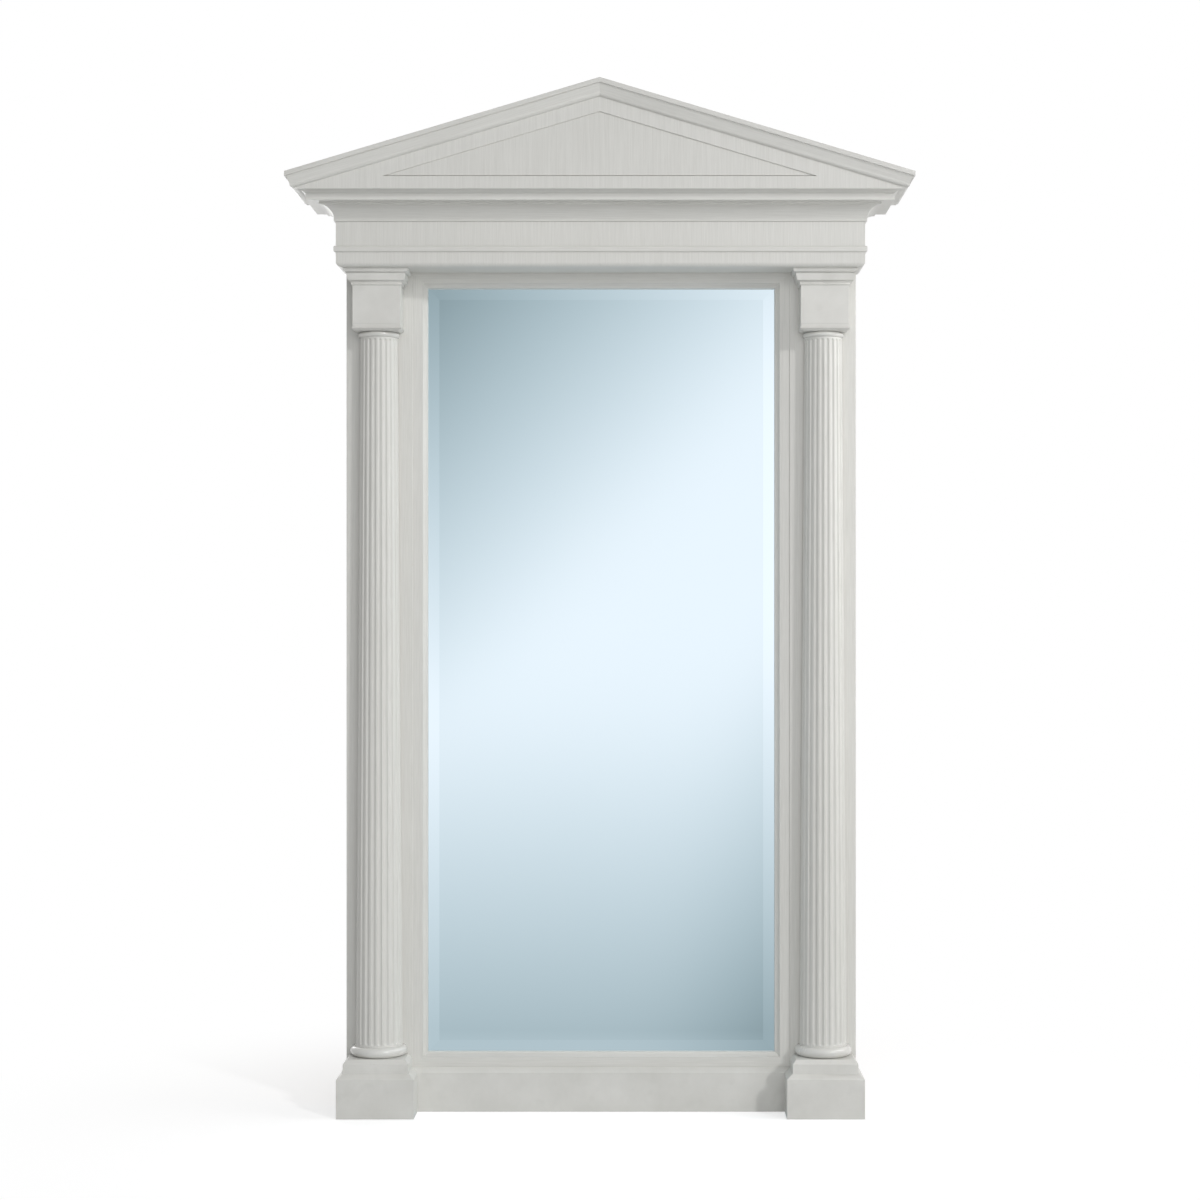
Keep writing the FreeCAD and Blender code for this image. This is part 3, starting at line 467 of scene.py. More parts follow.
# Haze that wiping leaves on the glass
HAZE_SIZES = (0.5, 1.0, 1.6)
HAZE_NOISE = (2.0, 4.0, 0.55)
HAZE_TINT = (0.82, 0.90, 0.93)
HAZE_STRENGTH = (0.0, 0.12)
HAZE_ROUGHNESS = (0.35, 0.75, 0.012, 0.035)


@once
def silvered_glass():
    """Silver behind polished glass, with the faint haze of a wiped surface."""
    colours = bpy.context.scene.mirror_colours
    material, graph, shader = new_material("silvered_glass", metallic=1.0)
    haze = graph.noise(graph.stretched(graph.place(), HAZE_SIZES), *HAZE_NOISE)
    share = graph.remap(haze, *NOISE_SPAN, *HAZE_STRENGTH)
    graph.set_inputs(shader, base_color=graph.mix(share, rgba(colours.silver), rgba(HAZE_TINT)),
                     roughness=graph.remap(haze, *HAZE_ROUGHNESS))
    return material


# Hardboard: its fibres and blotches, how much paler the palest fibres are, and the screen in its relief
FIBRE_LENGTH = 0.006
FIBRE_BREADTH = 0.0016
FIBRE_NOISE = (1.0, 5.0, 0.7)
FIBRE_SHARE = 0.4
BLOTCH_NOISE = (5.0, 3.0, 0.55)
BLOTCH_SHARE = 0.2
PALE_FIBRE = 1.9
BOARD_ROUGHNESS = (0.62, 0.82)
SCREEN_PITCH = 0.0016
SCREEN_SHARE = 0.35
BOARD_RELIEF = (0.5, 0.0004)


@once
def hardboard():
    """Brown pressed board: matted fibres, and the print of the wire screen that it was pressed on."""
    colours = bpy.context.scene.mirror_colours
    material, graph, shader = new_material("hardboard")
    place = graph.place()
    level = graph.stretched(place, (FIBRE_LENGTH, FIBRE_LENGTH, FIBRE_BREADTH))
    upright = graph.stretched(place, (FIBRE_BREADTH, FIBRE_LENGTH, FIBRE_LENGTH))
    fibres = graph.noise(level, *FIBRE_NOISE)
    crossed = graph.noise(upright, *FIBRE_NOISE)
    blotches = graph.noise(place, *BLOTCH_NOISE)
    tone = fibres * FIBRE_SHARE + crossed * FIBRE_SHARE + blotches * BLOTCH_SHARE
    light = graph.remap(tone, *TONE_SPAN)
    pale = [channel * PALE_FIBRE for channel in colours.hardboard]
    x, _, z = graph.split(place)
    wires = [graph.math("SINE", way * (math.tau / SCREEN_PITCH)) for way in (x, z)]
    screen = graph.math("MAXIMUM", *wires)
    graph.set_inputs(shader, base_color=graph.mix(light, rgba(colours.hardboard), rgba(pale)),
                     roughness=graph.remap(light, 0.0, 1.0, *BOARD_ROUGHNESS),
                     normal=graph.bump(screen * SCREEN_SHARE + fibres, *BOARD_RELIEF))
    return material


# Bare wood: its growth lines, how they drift, and its pores
RING_PITCH = 0.016
RING_DRIFT = 0.22
RING_SHARE = 0.22
DRIFT_SIZES = (0.9, 0.2, 0.12)
DRIFT_NOISE = (1.0, 3.0, 0.5)
VESSEL_SIZES = (0.05, 0.0012, 0.0012)
VESSEL_NOISE = (1.0, 3.0, 0.6)
WOOD_SPAN = (0.22, 0.85)
WOOD_ROUGHNESS = (0.58, 0.76)
WOOD_RELIEF = (0.3, 0.0005)


@once
def bare_wood():
    """Unpainted board at the back of the roof, with growth lines along its length."""
    colours = bpy.context.scene.mirror_colours
    material, graph, shader = new_material("bare_wood")
    place = graph.place()
    drift = graph.noise(graph.stretched(place, DRIFT_SIZES), *DRIFT_NOISE)
    height = graph.split(place)[2]
    rings = graph.math("SINE", (height + drift * RING_DRIFT) * (math.tau / RING_PITCH))
    pores = graph.noise(graph.stretched(place, VESSEL_SIZES), *VESSEL_NOISE)
    light = graph.remap(rings * RING_SHARE + pores, *WOOD_SPAN)
    graph.set_inputs(shader, base_color=graph.mix(light, rgba(colours.timber_dark), rgba(colours.timber)),
                     roughness=graph.remap(pores, *NOISE_SPAN, *WOOD_ROUGHNESS),
                     normal=graph.bump(pores, *WOOD_RELIEF))
    return material


# Beech dowels
FLECK_NOISE = (220.0, 3.0, 0.6)
FLECK_SHADE = 0.7
BEECH_ROUGHNESS = (0.5, 0.7)


@once
def dowel_beech():
    colours = bpy.context.scene.mirror_colours
    material, graph, shader = new_material("dowel_beech")
    flecks = graph.noise(graph.place(), *FLECK_NOISE)
    dark = [channel * FLECK_SHADE for channel in colours.beech]
    graph.set_inputs(shader, base_color=graph.mix(flecks, rgba(dark), rgba(colours.beech)),
                     roughness=graph.remap(flecks, *NOISE_SPAN, *BEECH_ROUGHNESS))
    return material


# Zinc plate: its crystals, its handled patches, and how dark it gets
CRYSTAL_SCALE = 900.0
DULL_NOISE = (160.0, 4.0, 0.6)
ZINC_SHADE = 0.72
ZINC_SPAN = (0.2, 0.8)
ZINC_ROUGHNESS = (0.24, 0.46)
ZINC_RELIEF = (0.08, 0.0002)


@once
def zinc_plate():
    """Bright zinc on steel: small crystals, and duller patches where it has been handled."""
    colours = bpy.context.scene.mirror_colours
    material, graph, shader = new_material("zinc_plate", metallic=1.0)
    place = graph.place()
    crystals = graph.node("ShaderNodeTexVoronoi", {"Vector": place, "Scale": CRYSTAL_SCALE})
    facet = graph.split(crystals.outputs["Color"])[0]
    dull = graph.noise(place, *DULL_NOISE)
    dark = [channel * ZINC_SHADE for channel in colours.zinc]
    tone = graph.remap(facet * 0.5 + dull * 0.5, *ZINC_SPAN)
    graph.set_inputs(shader, base_color=graph.mix(tone, rgba(dark), rgba(colours.zinc)),
                     roughness=graph.remap(dull, *NOISE_SPAN, *ZINC_ROUGHNESS),
                     normal=graph.bump(dull, *ZINC_RELIEF))
    return material


# Moulded nylon and rubber: the grain of the mould, and dust that lightens the colour
GRAIN_NOISE = (1400.0, 2.0, 0.5)
DUST_NOISE = (60.0, 4.0, 0.6)
DUST_SPAN = (0.4, 0.75)
DUST_GAIN = 1.8
DUST_LIFT = 0.01
MOULDED_ROUGHNESS = (0.7, 1.3, 0.42, 0.62)
MOULDED_RELIEF = (0.2, 0.0002)


@once
def moulded(name):
    """Dark moulded nylon or rubber with a fine sparked grain."""
    colours = bpy.context.scene.mirror_colours
    material, graph, shader = new_material(f"moulded_{name}")
    place = graph.place()
    grain = graph.noise(place, *GRAIN_NOISE)
    dust = graph.noise(place, *DUST_NOISE)
    colour = getattr(colours, name)
    dusty = [channel * DUST_GAIN + DUST_LIFT for channel in colour]
    share = graph.remap(dust, *DUST_SPAN)
    graph.set_inputs(shader, base_color=graph.mix(share, rgba(colour), rgba(dusty)),
                     roughness=graph.remap(grain + dust, *MOULDED_ROUGHNESS),
                     normal=graph.bump(grain, *MOULDED_RELIEF))
    return material


def link_piece(name, mesh):
    piece = bpy.data.objects.new(name, mesh)
    bpy.context.scene.collection.objects.link(piece)
    return piece


def made_plain(piece):
    """Turns what the piece's modifiers give into its own plain mesh."""
    depsgraph = bpy.context.evaluated_depsgraph_get()
    mesh = bpy.data.meshes.new_from_object(piece.evaluated_get(depsgraph))
    piece.modifiers.clear()
    piece.data = mesh
    mesh.name = piece.name


def mend_normals(mesh):
    """Gives each corner whose normal strays from its face, as at the end of a rounding, the face's own."""
    normals = [corner.vector.copy() for corner in mesh.corner_normals]
    for face in mesh.polygons:
        for loop in face.loop_indices:
            if normals[loop].angle(face.normal, 0.0) > STRAY_ANGLE:
                normals[loop] = face.normal.copy()
    mesh.normals_split_custom_set(normals)


def shade(piece):
    """Smooth shading that keeps true edges sharp and flat faces flat."""
    piece.data.shade_smooth()
    piece.data.set_sharp_from_angle(angle=SHARP_ANGLE)
    piece.modifiers.new("Flat faces", "WEIGHTED_NORMAL").keep_sharp = True
    made_plain(piece)
    mend_normals(piece.data)


def stand_in(piece, slot, *nodes):
    """The piece takes the place of CAD nodes of one body and moves with it."""
    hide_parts(*nodes)
    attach(piece, frame["nodes"][nodes[0]]["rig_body"])


def merged_copy(node):
    """A CAD node's mesh with its doubled corners merged."""
    copy = bmesh.new()
    copy.from_mesh(frame["nodes"][node].data)
    bmesh.ops.remove_doubles(copy, verts=copy.verts, dist=WELD_DISTANCE)
    return copy


@once
def surface(node):
    """A CAD node's surface, for finding the nearest point on it."""
    mesh = frame["nodes"][node].data
    return BVHTree.FromPolygons([vertex.co for vertex in mesh.vertices],
                                [face.vertices for face in mesh.polygons])


node_box = once(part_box)


def boxes_touch(node, other):
    (low, high), (other_low, other_high) = node_box(node), node_box(other)
    return all(low[axis] - TOUCH_DISTANCE <= other_high[axis]
               and other_low[axis] - TOUCH_DISTANCE <= high[axis] for axis in range(3))


def is_arris(edge, ease):
    """True for a long outer edge between two faces that meet at an angle."""
    if len(edge.link_faces) != 2 or not edge.is_convex:
        return False
    return edge.calc_face_angle() > ARRIS_ANGLE and edge.calc_length() > ARRIS_LENGTH_SHARE * ease


def is_joined(edge, ease, neighbours):
    """True where one of the edge's faces lies against another piece."""
    first, last = (corner.co for corner in edge.verts)
    for loop in edge.link_loops:
        inward = edge.calc_tangent(loop)
        for share in TRIAL_SHARES:
            trial = first.lerp(last, share) + inward * ease * TRIAL_DEPTH
            if any(neighbour.find_nearest(trial, TOUCH_DISTANCE)[0] for neighbour in neighbours):
                return True
    return False


def eased_copy(node, ease):
    """A CAD node's mesh with its flat triangles joined and its free arrises rounded, and these marked."""
    copy = merged_copy(node)
    bmesh.ops.dissolve_limit(copy, angle_limit=FLAT_ANGLE, verts=copy.verts, edges=copy.edges)
    mark = copy.faces.layers.float.new("arris")
    neighbours = [surface(other) for other in frame["nodes"] if other != node and boxes_touch(node, other)]
    arrises = [edge for edge in copy.edges
               if is_arris(edge, ease) and not is_joined(edge, ease, neighbours)]
    rounded = bmesh.ops.bevel(copy, geom=arrises, offset=ease, segments=2, profile=0.5, affect="EDGES",
                              clamp_overlap=False, loop_slide=True)
    for face in rounded["faces"]:
        face[mark] = 1.0
    return copy


def finish_node(node, slot, material, ease=0.0):
    """Replaces a CAD node by a finished copy, with rounded arrises where ease isn't 0."""
    copy = eased_copy(node, ease) if ease else merged_copy(node)
    mesh = bpy.data.meshes.new(f"{node}_finish")
    copy.to_mesh(mesh)
    copy.free()
    mesh.materials.clear()
    mesh.materials.append(material)
    piece = link_piece(f"{node}_finish", mesh)
    shade(piece)
    stand_in(piece, slot, node)
    return piece


def paint(nodes, grain, ease=0.0):
    for node in nodes:
        finish_node(node, "painted_wood", painted_wood(grain), ease)


def dress_node(node, material):
    """Gives a CAD node that stays as it is its own finish."""
    materials = frame["nodes"][node].data.materials
    materials.clear()
    materials.append(material)


def new_tree(name, inputs):
    """A Geometry Nodes tree with named inputs; returns its graph, and its inputs as fields."""
    tree = bpy.data.node_groups.new(name, "GeometryNodeTree")
    for label, kind in inputs.items():
        tree.interface.new_socket(name=label, in_out="INPUT", socket_type=f"NodeSocket{kind}")
    tree.interface.new_socket(name="Geometry", in_out="OUTPUT", socket_type="NodeSocketGeometry")
    graph = Graph(tree)
    entry = graph.node("NodeGroupInput")
    fields = {label: Field(graph, entry.outputs[label]) for label in inputs}
    return graph, fields


def close_tree(graph, geometry, finish):
    """Ends a tree in plain geometry with its finish."""
    real = graph.node("GeometryNodeRealizeInstances", {"Geometry": geometry}).outputs[0]
    dressed = graph.node("GeometryNodeSetMaterial", {"Geometry": real, "Material": finish}).outputs[0]
    graph.node("NodeGroupOutput", {"Geometry": dressed})
    return graph.tree


def grow(name, mesh, tree, settings):
    """A plain piece made by a tree from a starting mesh, with the tree's named inputs set."""
    piece = link_piece(name, mesh)
    modifier = piece.modifiers.new(tree.name, "NODES")
    modifier.node_group = tree
    for item in tree.interface.items_tree:
        if item.in_out == "INPUT" and item.name in settings:
            modifier[item.identifier] = settings[item.name]
    made_plain(piece)
    return piece


# How finely a fluted shaft is divided: columns to a flute, the share of them inside it, and rows, of which
# the end ones reach this many flute radii past the plain band
COLUMNS_PER_FLUTE = 16
FLUTE_COLUMN_SHARE = 0.75
END_ROWS = 10
MIDDLE_ROWS = 6
END_REACH = 1.2


def fluted_shaft_tree():
    """Tapering shaft with round-ended flutes, planed flat at the back. Flutes start at +X."""
    graph, size = new_tree("Fluted Shaft", {
        "Foot": "Vector", "Height": "Float", "Foot Radius": "Float", "Head Radius": "Float",
        "Flutes": "Int", "Flute Radius": "Float", "Flute Depth": "Float", "Margin": "Float",
        "Arris": "Float", "Back": "Float", "Finish": "Material"})
    rows = END_ROWS + MIDDLE_ROWS + END_ROWS
    blank = graph.node("GeometryNodeMeshCylinder", {
        "Vertices": size["Flutes"] * COLUMNS_PER_FLUTE, "Side Segments": rows, "Radius": 1.0, "Depth": 1.0})
    x, y, z = graph.split(graph.node("GeometryNodeInputPosition").outputs[0])

    end_zone = size["Margin"] + size["Flute Radius"] * END_REACH
    along = z + 0.5
    end_share = END_ROWS / rows
    level = (graph.remap(along, 0.0, end_share, 0.0, end_zone)
             + graph.remap(along, end_share, 1.0 - end_share, 0.0, size["Height"] - end_zone * 2.0)
             + graph.remap(along, 1.0 - end_share, 1.0, 0.0, end_zone))
    foot = size["Foot Radius"]
    taper = (foot + (size["Head Radius"] - foot) * level / size["Height"]) / foot

    axis = foot + size["Flute Radius"] - size["Flute Depth"]
    cutter_square = size["Flute Radius"] * size["Flute Radius"]
    cosine = (axis * axis + foot * foot - cutter_square) / (axis * foot * 2.0)
    flute_angle = graph.math("ARCCOSINE", cosine)
    half_pitch = graph.math("DIVIDE", math.pi, size["Flutes"])
    turn = graph.math("ARCTAN2", y, x) / (half_pitch * 2.0)
    nearest = graph.math("ROUND", turn)
    aside = turn - nearest
    share = graph.math("ABSOLUTE", aside) * 2.0
    swing = (graph.remap(share, 0.0, FLUTE_COLUMN_SHARE, 0.0, flute_angle)
             + graph.remap(share, FLUTE_COLUMN_SHARE, 1.0, 0.0, half_pitch - flute_angle))
    angle = nearest * half_pitch * 2.0 + graph.math("SIGN", aside) * swing

    from_end = graph.math("MINIMUM", level, size["Height"] - level) - size["Margin"]
    cutter = size["Flute Radius"] * taper
    short = 1.0 - graph.remap(from_end, 0.0, cutter)
    opening = cutter * cutter * (1.0 - short * short)
    land = foot * taper
    in_front = graph.math("LESS_THAN", land * graph.math("SINE", angle), size["Back"])
    offset = axis * taper * graph.math("SINE", swing)
    bite = graph.math("MAXIMUM", opening * in_front - offset * offset, 0.0)
    flute = axis * taper * graph.math("COSINE", swing) - graph.math("SQRT", bite)
    radius = graph.math("SMOOTH_MIN", land, flute, size["Arris"])

    planed = graph.math("MINIMUM", radius * graph.math("SINE", angle), size["Back"])
    place = graph.join(radius * graph.math("COSINE", angle), planed, level)
    foot_place = graph.node("ShaderNodeVectorMath", {0: place, 1: size["Foot"]}, operation="ADD").outputs[0]
    shaft = graph.node("GeometryNodeSetPosition", {
        "Geometry": blank.outputs["Mesh"], "Position": foot_place})
    return close_tree(graph, shaft.outputs[0], size["Finish"])


# How finely a screw is divided, how far its head falls to the rim, how the screws are turned, and the
# heights of a recess's two wings in depths, which differ a little so that no faces coincide
HEAD_SIDES = 28
SHANK_SIDES = 16
HEAD_FALL = 0.45
SPIN_SEED = 7
WING_HEIGHTS = {("Recess Length", "Recess Width"): 2.0, ("Recess Width", "Recess Length"): 1.9}


def screw_tree():
    """Pan-head screws with a cross recess, heads towards +Y, at the points of the starting mesh."""
    graph, size = new_tree("Pan-Head Screws", {
        "Geometry": "Geometry", "Head Width": "Float", "Head Height": "Float", "Recess Width": "Float",
        "Recess Length": "Float", "Recess Depth": "Float", "Shank Width": "Float", "Shank Length": "Float",
        "Finish": "Material"})
    head = graph.node("GeometryNodeMeshCylinder", {
        "Vertices": HEAD_SIDES, "Side Segments": 2, "Fill Segments": 4,
        "Radius": size["Head Width"] * 0.5, "Depth": size["Head Height"]}, fill_type="TRIANGLE_FAN")
    x, y, z = graph.split(graph.node("GeometryNodeInputPosition").outputs[0])
    out = graph.math("SQRT", x * x + y * y) / (size["Head Width"] * 0.5)
    upper = graph.math("GREATER_THAN", z, 0.0)
    drop = upper * out * out * out * size["Head Height"] * HEAD_FALL
    domed_place = graph.join(x, y, z + size["Head Height"] * 0.5 - drop)
    domed = graph.node("GeometryNodeSetPosition", {
        "Geometry": head.outputs["Mesh"], "Position": domed_place})
    recessed = graph.node("GeometryNodeMeshBoolean", {"Mesh 1": domed.outputs[0]}, operation="DIFFERENCE")
    raised = graph.join(0.0, 0.0, size["Head Height"])
    for (wide, deep), height in WING_HEIGHTS.items():
        box = graph.node("GeometryNodeMeshCube", {
            "Size": graph.join(size[wide], size[deep], size["Recess Depth"] * height)}).outputs[0]
        wing = graph.node("GeometryNodeTransform", {"Geometry": box, "Translation": raised}).outputs[0]
        graph.feed(recessed.inputs["Mesh 2"], wing)
    shank = graph.node("GeometryNodeMeshCylinder", {
        "Vertices": SHANK_SIDES, "Radius": size["Shank Width"] * 0.5, "Depth": size["Shank Length"]})
    below = graph.join(0.0, 0.0, size["Shank Length"] * -0.5)
    sunk = graph.node("GeometryNodeTransform", {"Geometry": shank.outputs["Mesh"], "Translation": below})
    screw = graph.node("GeometryNodeJoinGeometry")
    for part in (recessed.outputs["Mesh"], sunk.outputs[0]):
        graph.feed(screw.inputs[0], part)
    spin = graph.node("FunctionNodeRandomValue", {2: 0.0, 3: math.tau, "Seed": SPIN_SEED})
    facing = graph.join(-math.pi / 2, Field(graph, spin.outputs[1]), 0.0)
    placed = graph.node("GeometryNodeInstanceOnPoints", {
        "Points": size["Geometry"], "Instance": screw.outputs[0], "Rotation": facing})
    return close_tree(graph, placed.outputs[0], size["Finish"])


def screw_boxes(node):
    """Lowest and highest corners of each separate screw of a CAD node, in the order of their places."""
    copy = merged_copy(node)
    left = set(copy.verts)
    boxes = []
    while left:
        reached = [left.pop()]
        for vertex in reached:
            fresh = {edge.other_vert(vertex) for edge in vertex.link_edges} & left
            left -= fresh
            reached.extend(fresh)
        corners = list(zip(*(vertex.co for vertex in reached)))
        boxes.append((Vector(map(min, corners)), Vector(map(max, corners))))
    copy.free()
    return sorted(boxes, key=lambda box: tuple(box[0]))


def finish_screws(node, tree):
    """Screws with recessed heads in the places of a CAD node's plain ones."""
    sizes = bpy.context.scene.mirror_sizes
    boxes = screw_boxes(node)
    head_width = boxes[0][1].x - boxes[0][0].x
    shank_length = boxes[0][1].y - boxes[0][0].y - sizes.screw_head_height
    seats = []
    for low, high in boxes:
        middle = (low + high) / 2
        seats.append((middle.x, high.y - sizes.screw_head_height, middle.z))
    mesh = bpy.data.meshes.new(f"{node}_seats")
    mesh.from_pydata(seats, [], [])
    piece = grow(f"{node}_finish", mesh, tree, {
        "Head Width": head_width, "Head Height": sizes.screw_head_height,
        "Recess Width": sizes.recess_width, "Recess Length": sizes.recess_length,
        "Recess Depth": sizes.recess_depth, "Shank Width": head_width / 2, "Shank Length": shank_length,
        "Finish": zinc_plate()})
    shade(piece)
    stand_in(piece, "zinc_screws", node)


class FLOORMIRROR_OT_boards(bpy.types.Operator):
    """Paint the stiles, rails, plinths and the boards of the entablature and the roof"""

    bl_idname = "floor_mirror.boards"
    bl_label = "Painted Boards"

    def execute(self, context):
        ease = context.scene.mirror_sizes.ease
        paint(UPRIGHT_BOARDS, "upright", ease)
        paint(LEVEL_BOARDS, "level", ease)
        paint(SMOOTH_BOARDS, "smooth", ease)
        for side in SIDES:
            paint((f"{side}_rake_moulding", f"{side}_roof_board"), f"{side}_slope", ease)
        return {"FINISHED"}


class FLOORMIRROR_OT_mouldings(bpy.types.Operator):
    """Paint the mouldings round the glass, the entablature and the eaves"""

    bl_idname = "floor_mirror.mouldings"
    bl_label = "Painted Mouldings"

    def execute(self, context):
        ease = context.scene.mirror_sizes.fine_ease
        paint(UPRIGHT_MOULDINGS, "upright", ease)
        paint(LEVEL_MOULDINGS, "level", ease)
        paint(DEPTH_MOULDINGS, "depth", ease)
        return {"FINISHED"}


class FLOORMIRROR_OT_columns(bpy.types.Operator):
    """Flute the column shafts and paint their bases, rings and capitals"""

    bl_idname = "floor_mirror.columns"
    bl_label = "Columns"

    def execute(self, context):
        sizes = context.scene.mirror_sizes
        tree = fluted_shaft_tree()
        for side in SIDES:
            node = f"{side}_column_shaft"
            low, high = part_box(node)
            foot_radius = sizes.shaft_foot_width / 2
            foot = Vector(((low.x + high.x) / 2, low.y + foot_radius, low.z))
            piece = grow(f"{node}_finish", bpy.data.meshes.new(node), tree, {
                "Foot": foot, "Height": high.z - low.z, "Foot Radius": foot_radius,
                "Head Radius": sizes.shaft_head_width / 2, "Flutes": sizes.flute_count,
                "Flute Radius": sizes.flute_radius, "Flute Depth": sizes.flute_depth,
                "Margin": sizes.flute_margin, "Arris": sizes.flute_arris, "Back": high.y - foot.y,
                "Finish": painted_wood("upright")})
            shade(piece)
            stand_in(piece, "painted_wood", node)
        paint(TURNED_PIECES, "turned")
        paint(COLUMN_BLOCKS, "smooth", sizes.ease)
        paint(CAPITAL_CAPS, "smooth")
        return {"FINISHED"}


class FLOORMIRROR_OT_glass(bpy.types.Operator):
    """Silver the bevelled glass"""

    bl_idname = "floor_mirror.glass"
    bl_label = "Mirror Glass"

    def execute(self, context):
        dress_node("mirror_glass", silvered_glass())
        return {"FINISHED"}


class FLOORMIRROR_OT_back(bpy.types.Operator):
    """Finish the backing board with its screws, and the bare back of the roof"""

    bl_idname = "floor_mirror.back"
    bl_label = "Back"

    def execute(self, context):
        finish_node("backing_board", "hardboard", hardboard())
        finish_node("pediment_back", "bare_wood", bare_wood(), context.scene.mirror_sizes.ease)
        tree = screw_tree()
        for node in ("backing_screws", "anchor_screws"):
            finish_screws(node, tree)
        return {"FINISHED"}


class FLOORMIRROR_OT_anchors(bpy.types.Operator):
    """Plate the wall anchors and their rings"""

    bl_idname = "floor_mirror.anchors"
    bl_label = "Wall Anchors"

    def execute(self, context):
        finish_node("anchor_straps", "zinc_steel", zinc_plate())
        for side in SIDES:
            finish_node(f"{side}_anchor_ring", "zinc_steel", zinc_plate())
        return {"FINISHED"}


class FLOORMIRROR_OT_glides(bpy.types.Operator):
    """Finish the levelling glides: nylon pads on zinc stems"""

    bl_idname = "floor_mirror.glides"
    bl_label = "Levelling Glides"

    def execute(self, context):
        for node in GLIDES:
            piece = finish_node(node, "glide_nylon", moulded("nylon"))
            piece.data.materials.append(zinc_plate())
            low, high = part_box(node)
            middle = (low + high) / 2
            pad_radius = (high.x - low.x) / 2
            for face in piece.data.polygons:
                off_axis = (face.center - middle).xy.length
                if face.center.z > low.z + pad_radius and off_axis < pad_radius / 2:
                    face.material_index = 1
        return {"FINISHED"}


class FLOORMIRROR_OT_joinery(bpy.types.Operator):
    """Finish the pieces inside: dowels, glass blocks and inserts"""

    bl_idname = "floor_mirror.joinery"
    bl_label = "Joinery"

    def execute(self, context):
        for node in ("frame_dowels", "column_dowels"):
            dress_node(node, dowel_beech())
        dress_node("setting_blocks", moulded("rubber"))
        dress_node("glide_inserts", zinc_plate())
        return {"FINISHED"}


SENSOR_WIDTH = 36.0
# Soft lights, by the first word of their settings
SCREENS = ("box", "front", "rear")


def make_camera(studio):
    data = bpy.data.cameras.new("camera")
    data.lens = studio.lens
    data.sensor_width = SENSOR_WIDTH
    data.shift_x, data.shift_y = studio.frame_shift
    camera = bpy.data.objects.new("camera", data)
    camera.location = studio.camera_place
    camera.rotation_euler = (math.pi / 2, 0.0, 0.0)
    bpy.context.scene.collection.objects.link(camera)
    bpy.context.scene.camera = camera


def add_lamp(name, kind, strength, way):
    """Lamp that stands away from the middle of the mirror by the given way, and shines back along it."""
    data = bpy.data.lights.new(name, kind)
    data.energy = strength
    lamp = bpy.data.objects.new(name, data)
    lamp.location = MIDDLE + way
    lamp.rotation_euler = way.to_track_quat("Z", "Y").to_euler()
    lamp.visible_camera = False
    bpy.context.scene.collection.objects.link(lamp)
    return data


def make_lamps(studio):
    """Far key light from the right front, a light box at the right, and soft screens before and behind."""
    level = math.cos(studio.key_elevation)
    way = Vector((math.sin(studio.key_azimuth) * level, -math.cos(studio.key_azimuth) * level,
                  math.sin(studio.key_elevation)))
    add_lamp("key", "SUN", studio.key_strength, way).angle = studio.key_spread
    for name in SCREENS:
        way = Vector(getattr(studio, f"{name}_place")) - MIDDLE
        lamp = add_lamp(name, "AREA", getattr(studio, f"{name}_power"), way)
        lamp.shape = "SQUARE"
        lamp.size = getattr(studio, f"{name}_size")


def make_world(studio):
    """Even light all round, white where it is seen."""
    world = bpy.data.worlds.new("studio")
    world.use_nodes = True
    graph = Graph(world.node_tree)
    strength = graph.remap(graph.seen_rays(), 0.0, 1.0, studio.fill, 1.0)
    background = graph.node("ShaderNodeBackground", {"Color": rgba(WHITE), "Strength": strength})
    graph.node("ShaderNodeOutputWorld", {"Surface": background.outputs[0]})
    bpy.context.scene.world = world


def stage_piece(name, half_width, line, material):
    """Sheet that runs along a line of (y, z) points, as wide as given to each side of the middle."""
    corners = [(x, y, z) for y, z in line for x in (-half_width, half_width)]
    faces = [(low, low + 1, low + 3, low + 2) for low in range(0, len(corners) - 2, 2)]
    mesh = bpy.data.meshes.new(name)
    mesh.from_pydata(corners, [], faces)
    mesh.materials.append(material)
    piece = link_piece(name, mesh)
    return piece


# The floor: its colours where it is seen and where it only throws light back, its size, how far it lies
# below the mirror, the glow that lightens its shadow, and where its fade to plain white begins and ends
FLOOR_COLOUR = (0.70, 0.70, 0.70)
FLOOR_BOUNCE = (0.72, 0.72, 0.72)
FLOOR_HALF = 9.0
FLOOR_DROP = 0.0002
FLOOR_LIFT = 0.50
FLOOR_NEAR = 0.55
FLOOR_FAR = 1.5


def make_floor():
    """Pale floor that takes the shadow near the mirror and is plain white further off."""
    material, graph = empty_material("floor")
    x, y, _ = graph.split(graph.place())
    away = graph.math("SQRT", x * x + y * y)
    fade = graph.remap(away, FLOOR_NEAR, FLOOR_FAR, curve="SMOOTHSTEP")
    seen = graph.seen_rays()
    colour = graph.mix(seen, rgba(FLOOR_BOUNCE), rgba(FLOOR_COLOUR))
    colour = graph.mix(fade * seen, colour, rgba(BLACK))
    ground = graph.node("ShaderNodeBsdfDiffuse", {"Color": colour})
    lift = graph.remap(fade, 0.0, 1.0, FLOOR_LIFT, 1.0)
    glow = graph.node("ShaderNodeEmission", {"Strength": seen * lift})
    both = graph.node("ShaderNodeAddShader", {0: ground.outputs[0], 1: glow.outputs[0]})
    graph.node("ShaderNodeOutputMaterial", {"Surface": both.outputs[0]})
    low = CAD_BOX[0].z - FLOOR_DROP
    stage_piece("floor", FLOOR_HALF, [(-FLOOR_HALF, low), (FLOOR_HALF, low)], material)


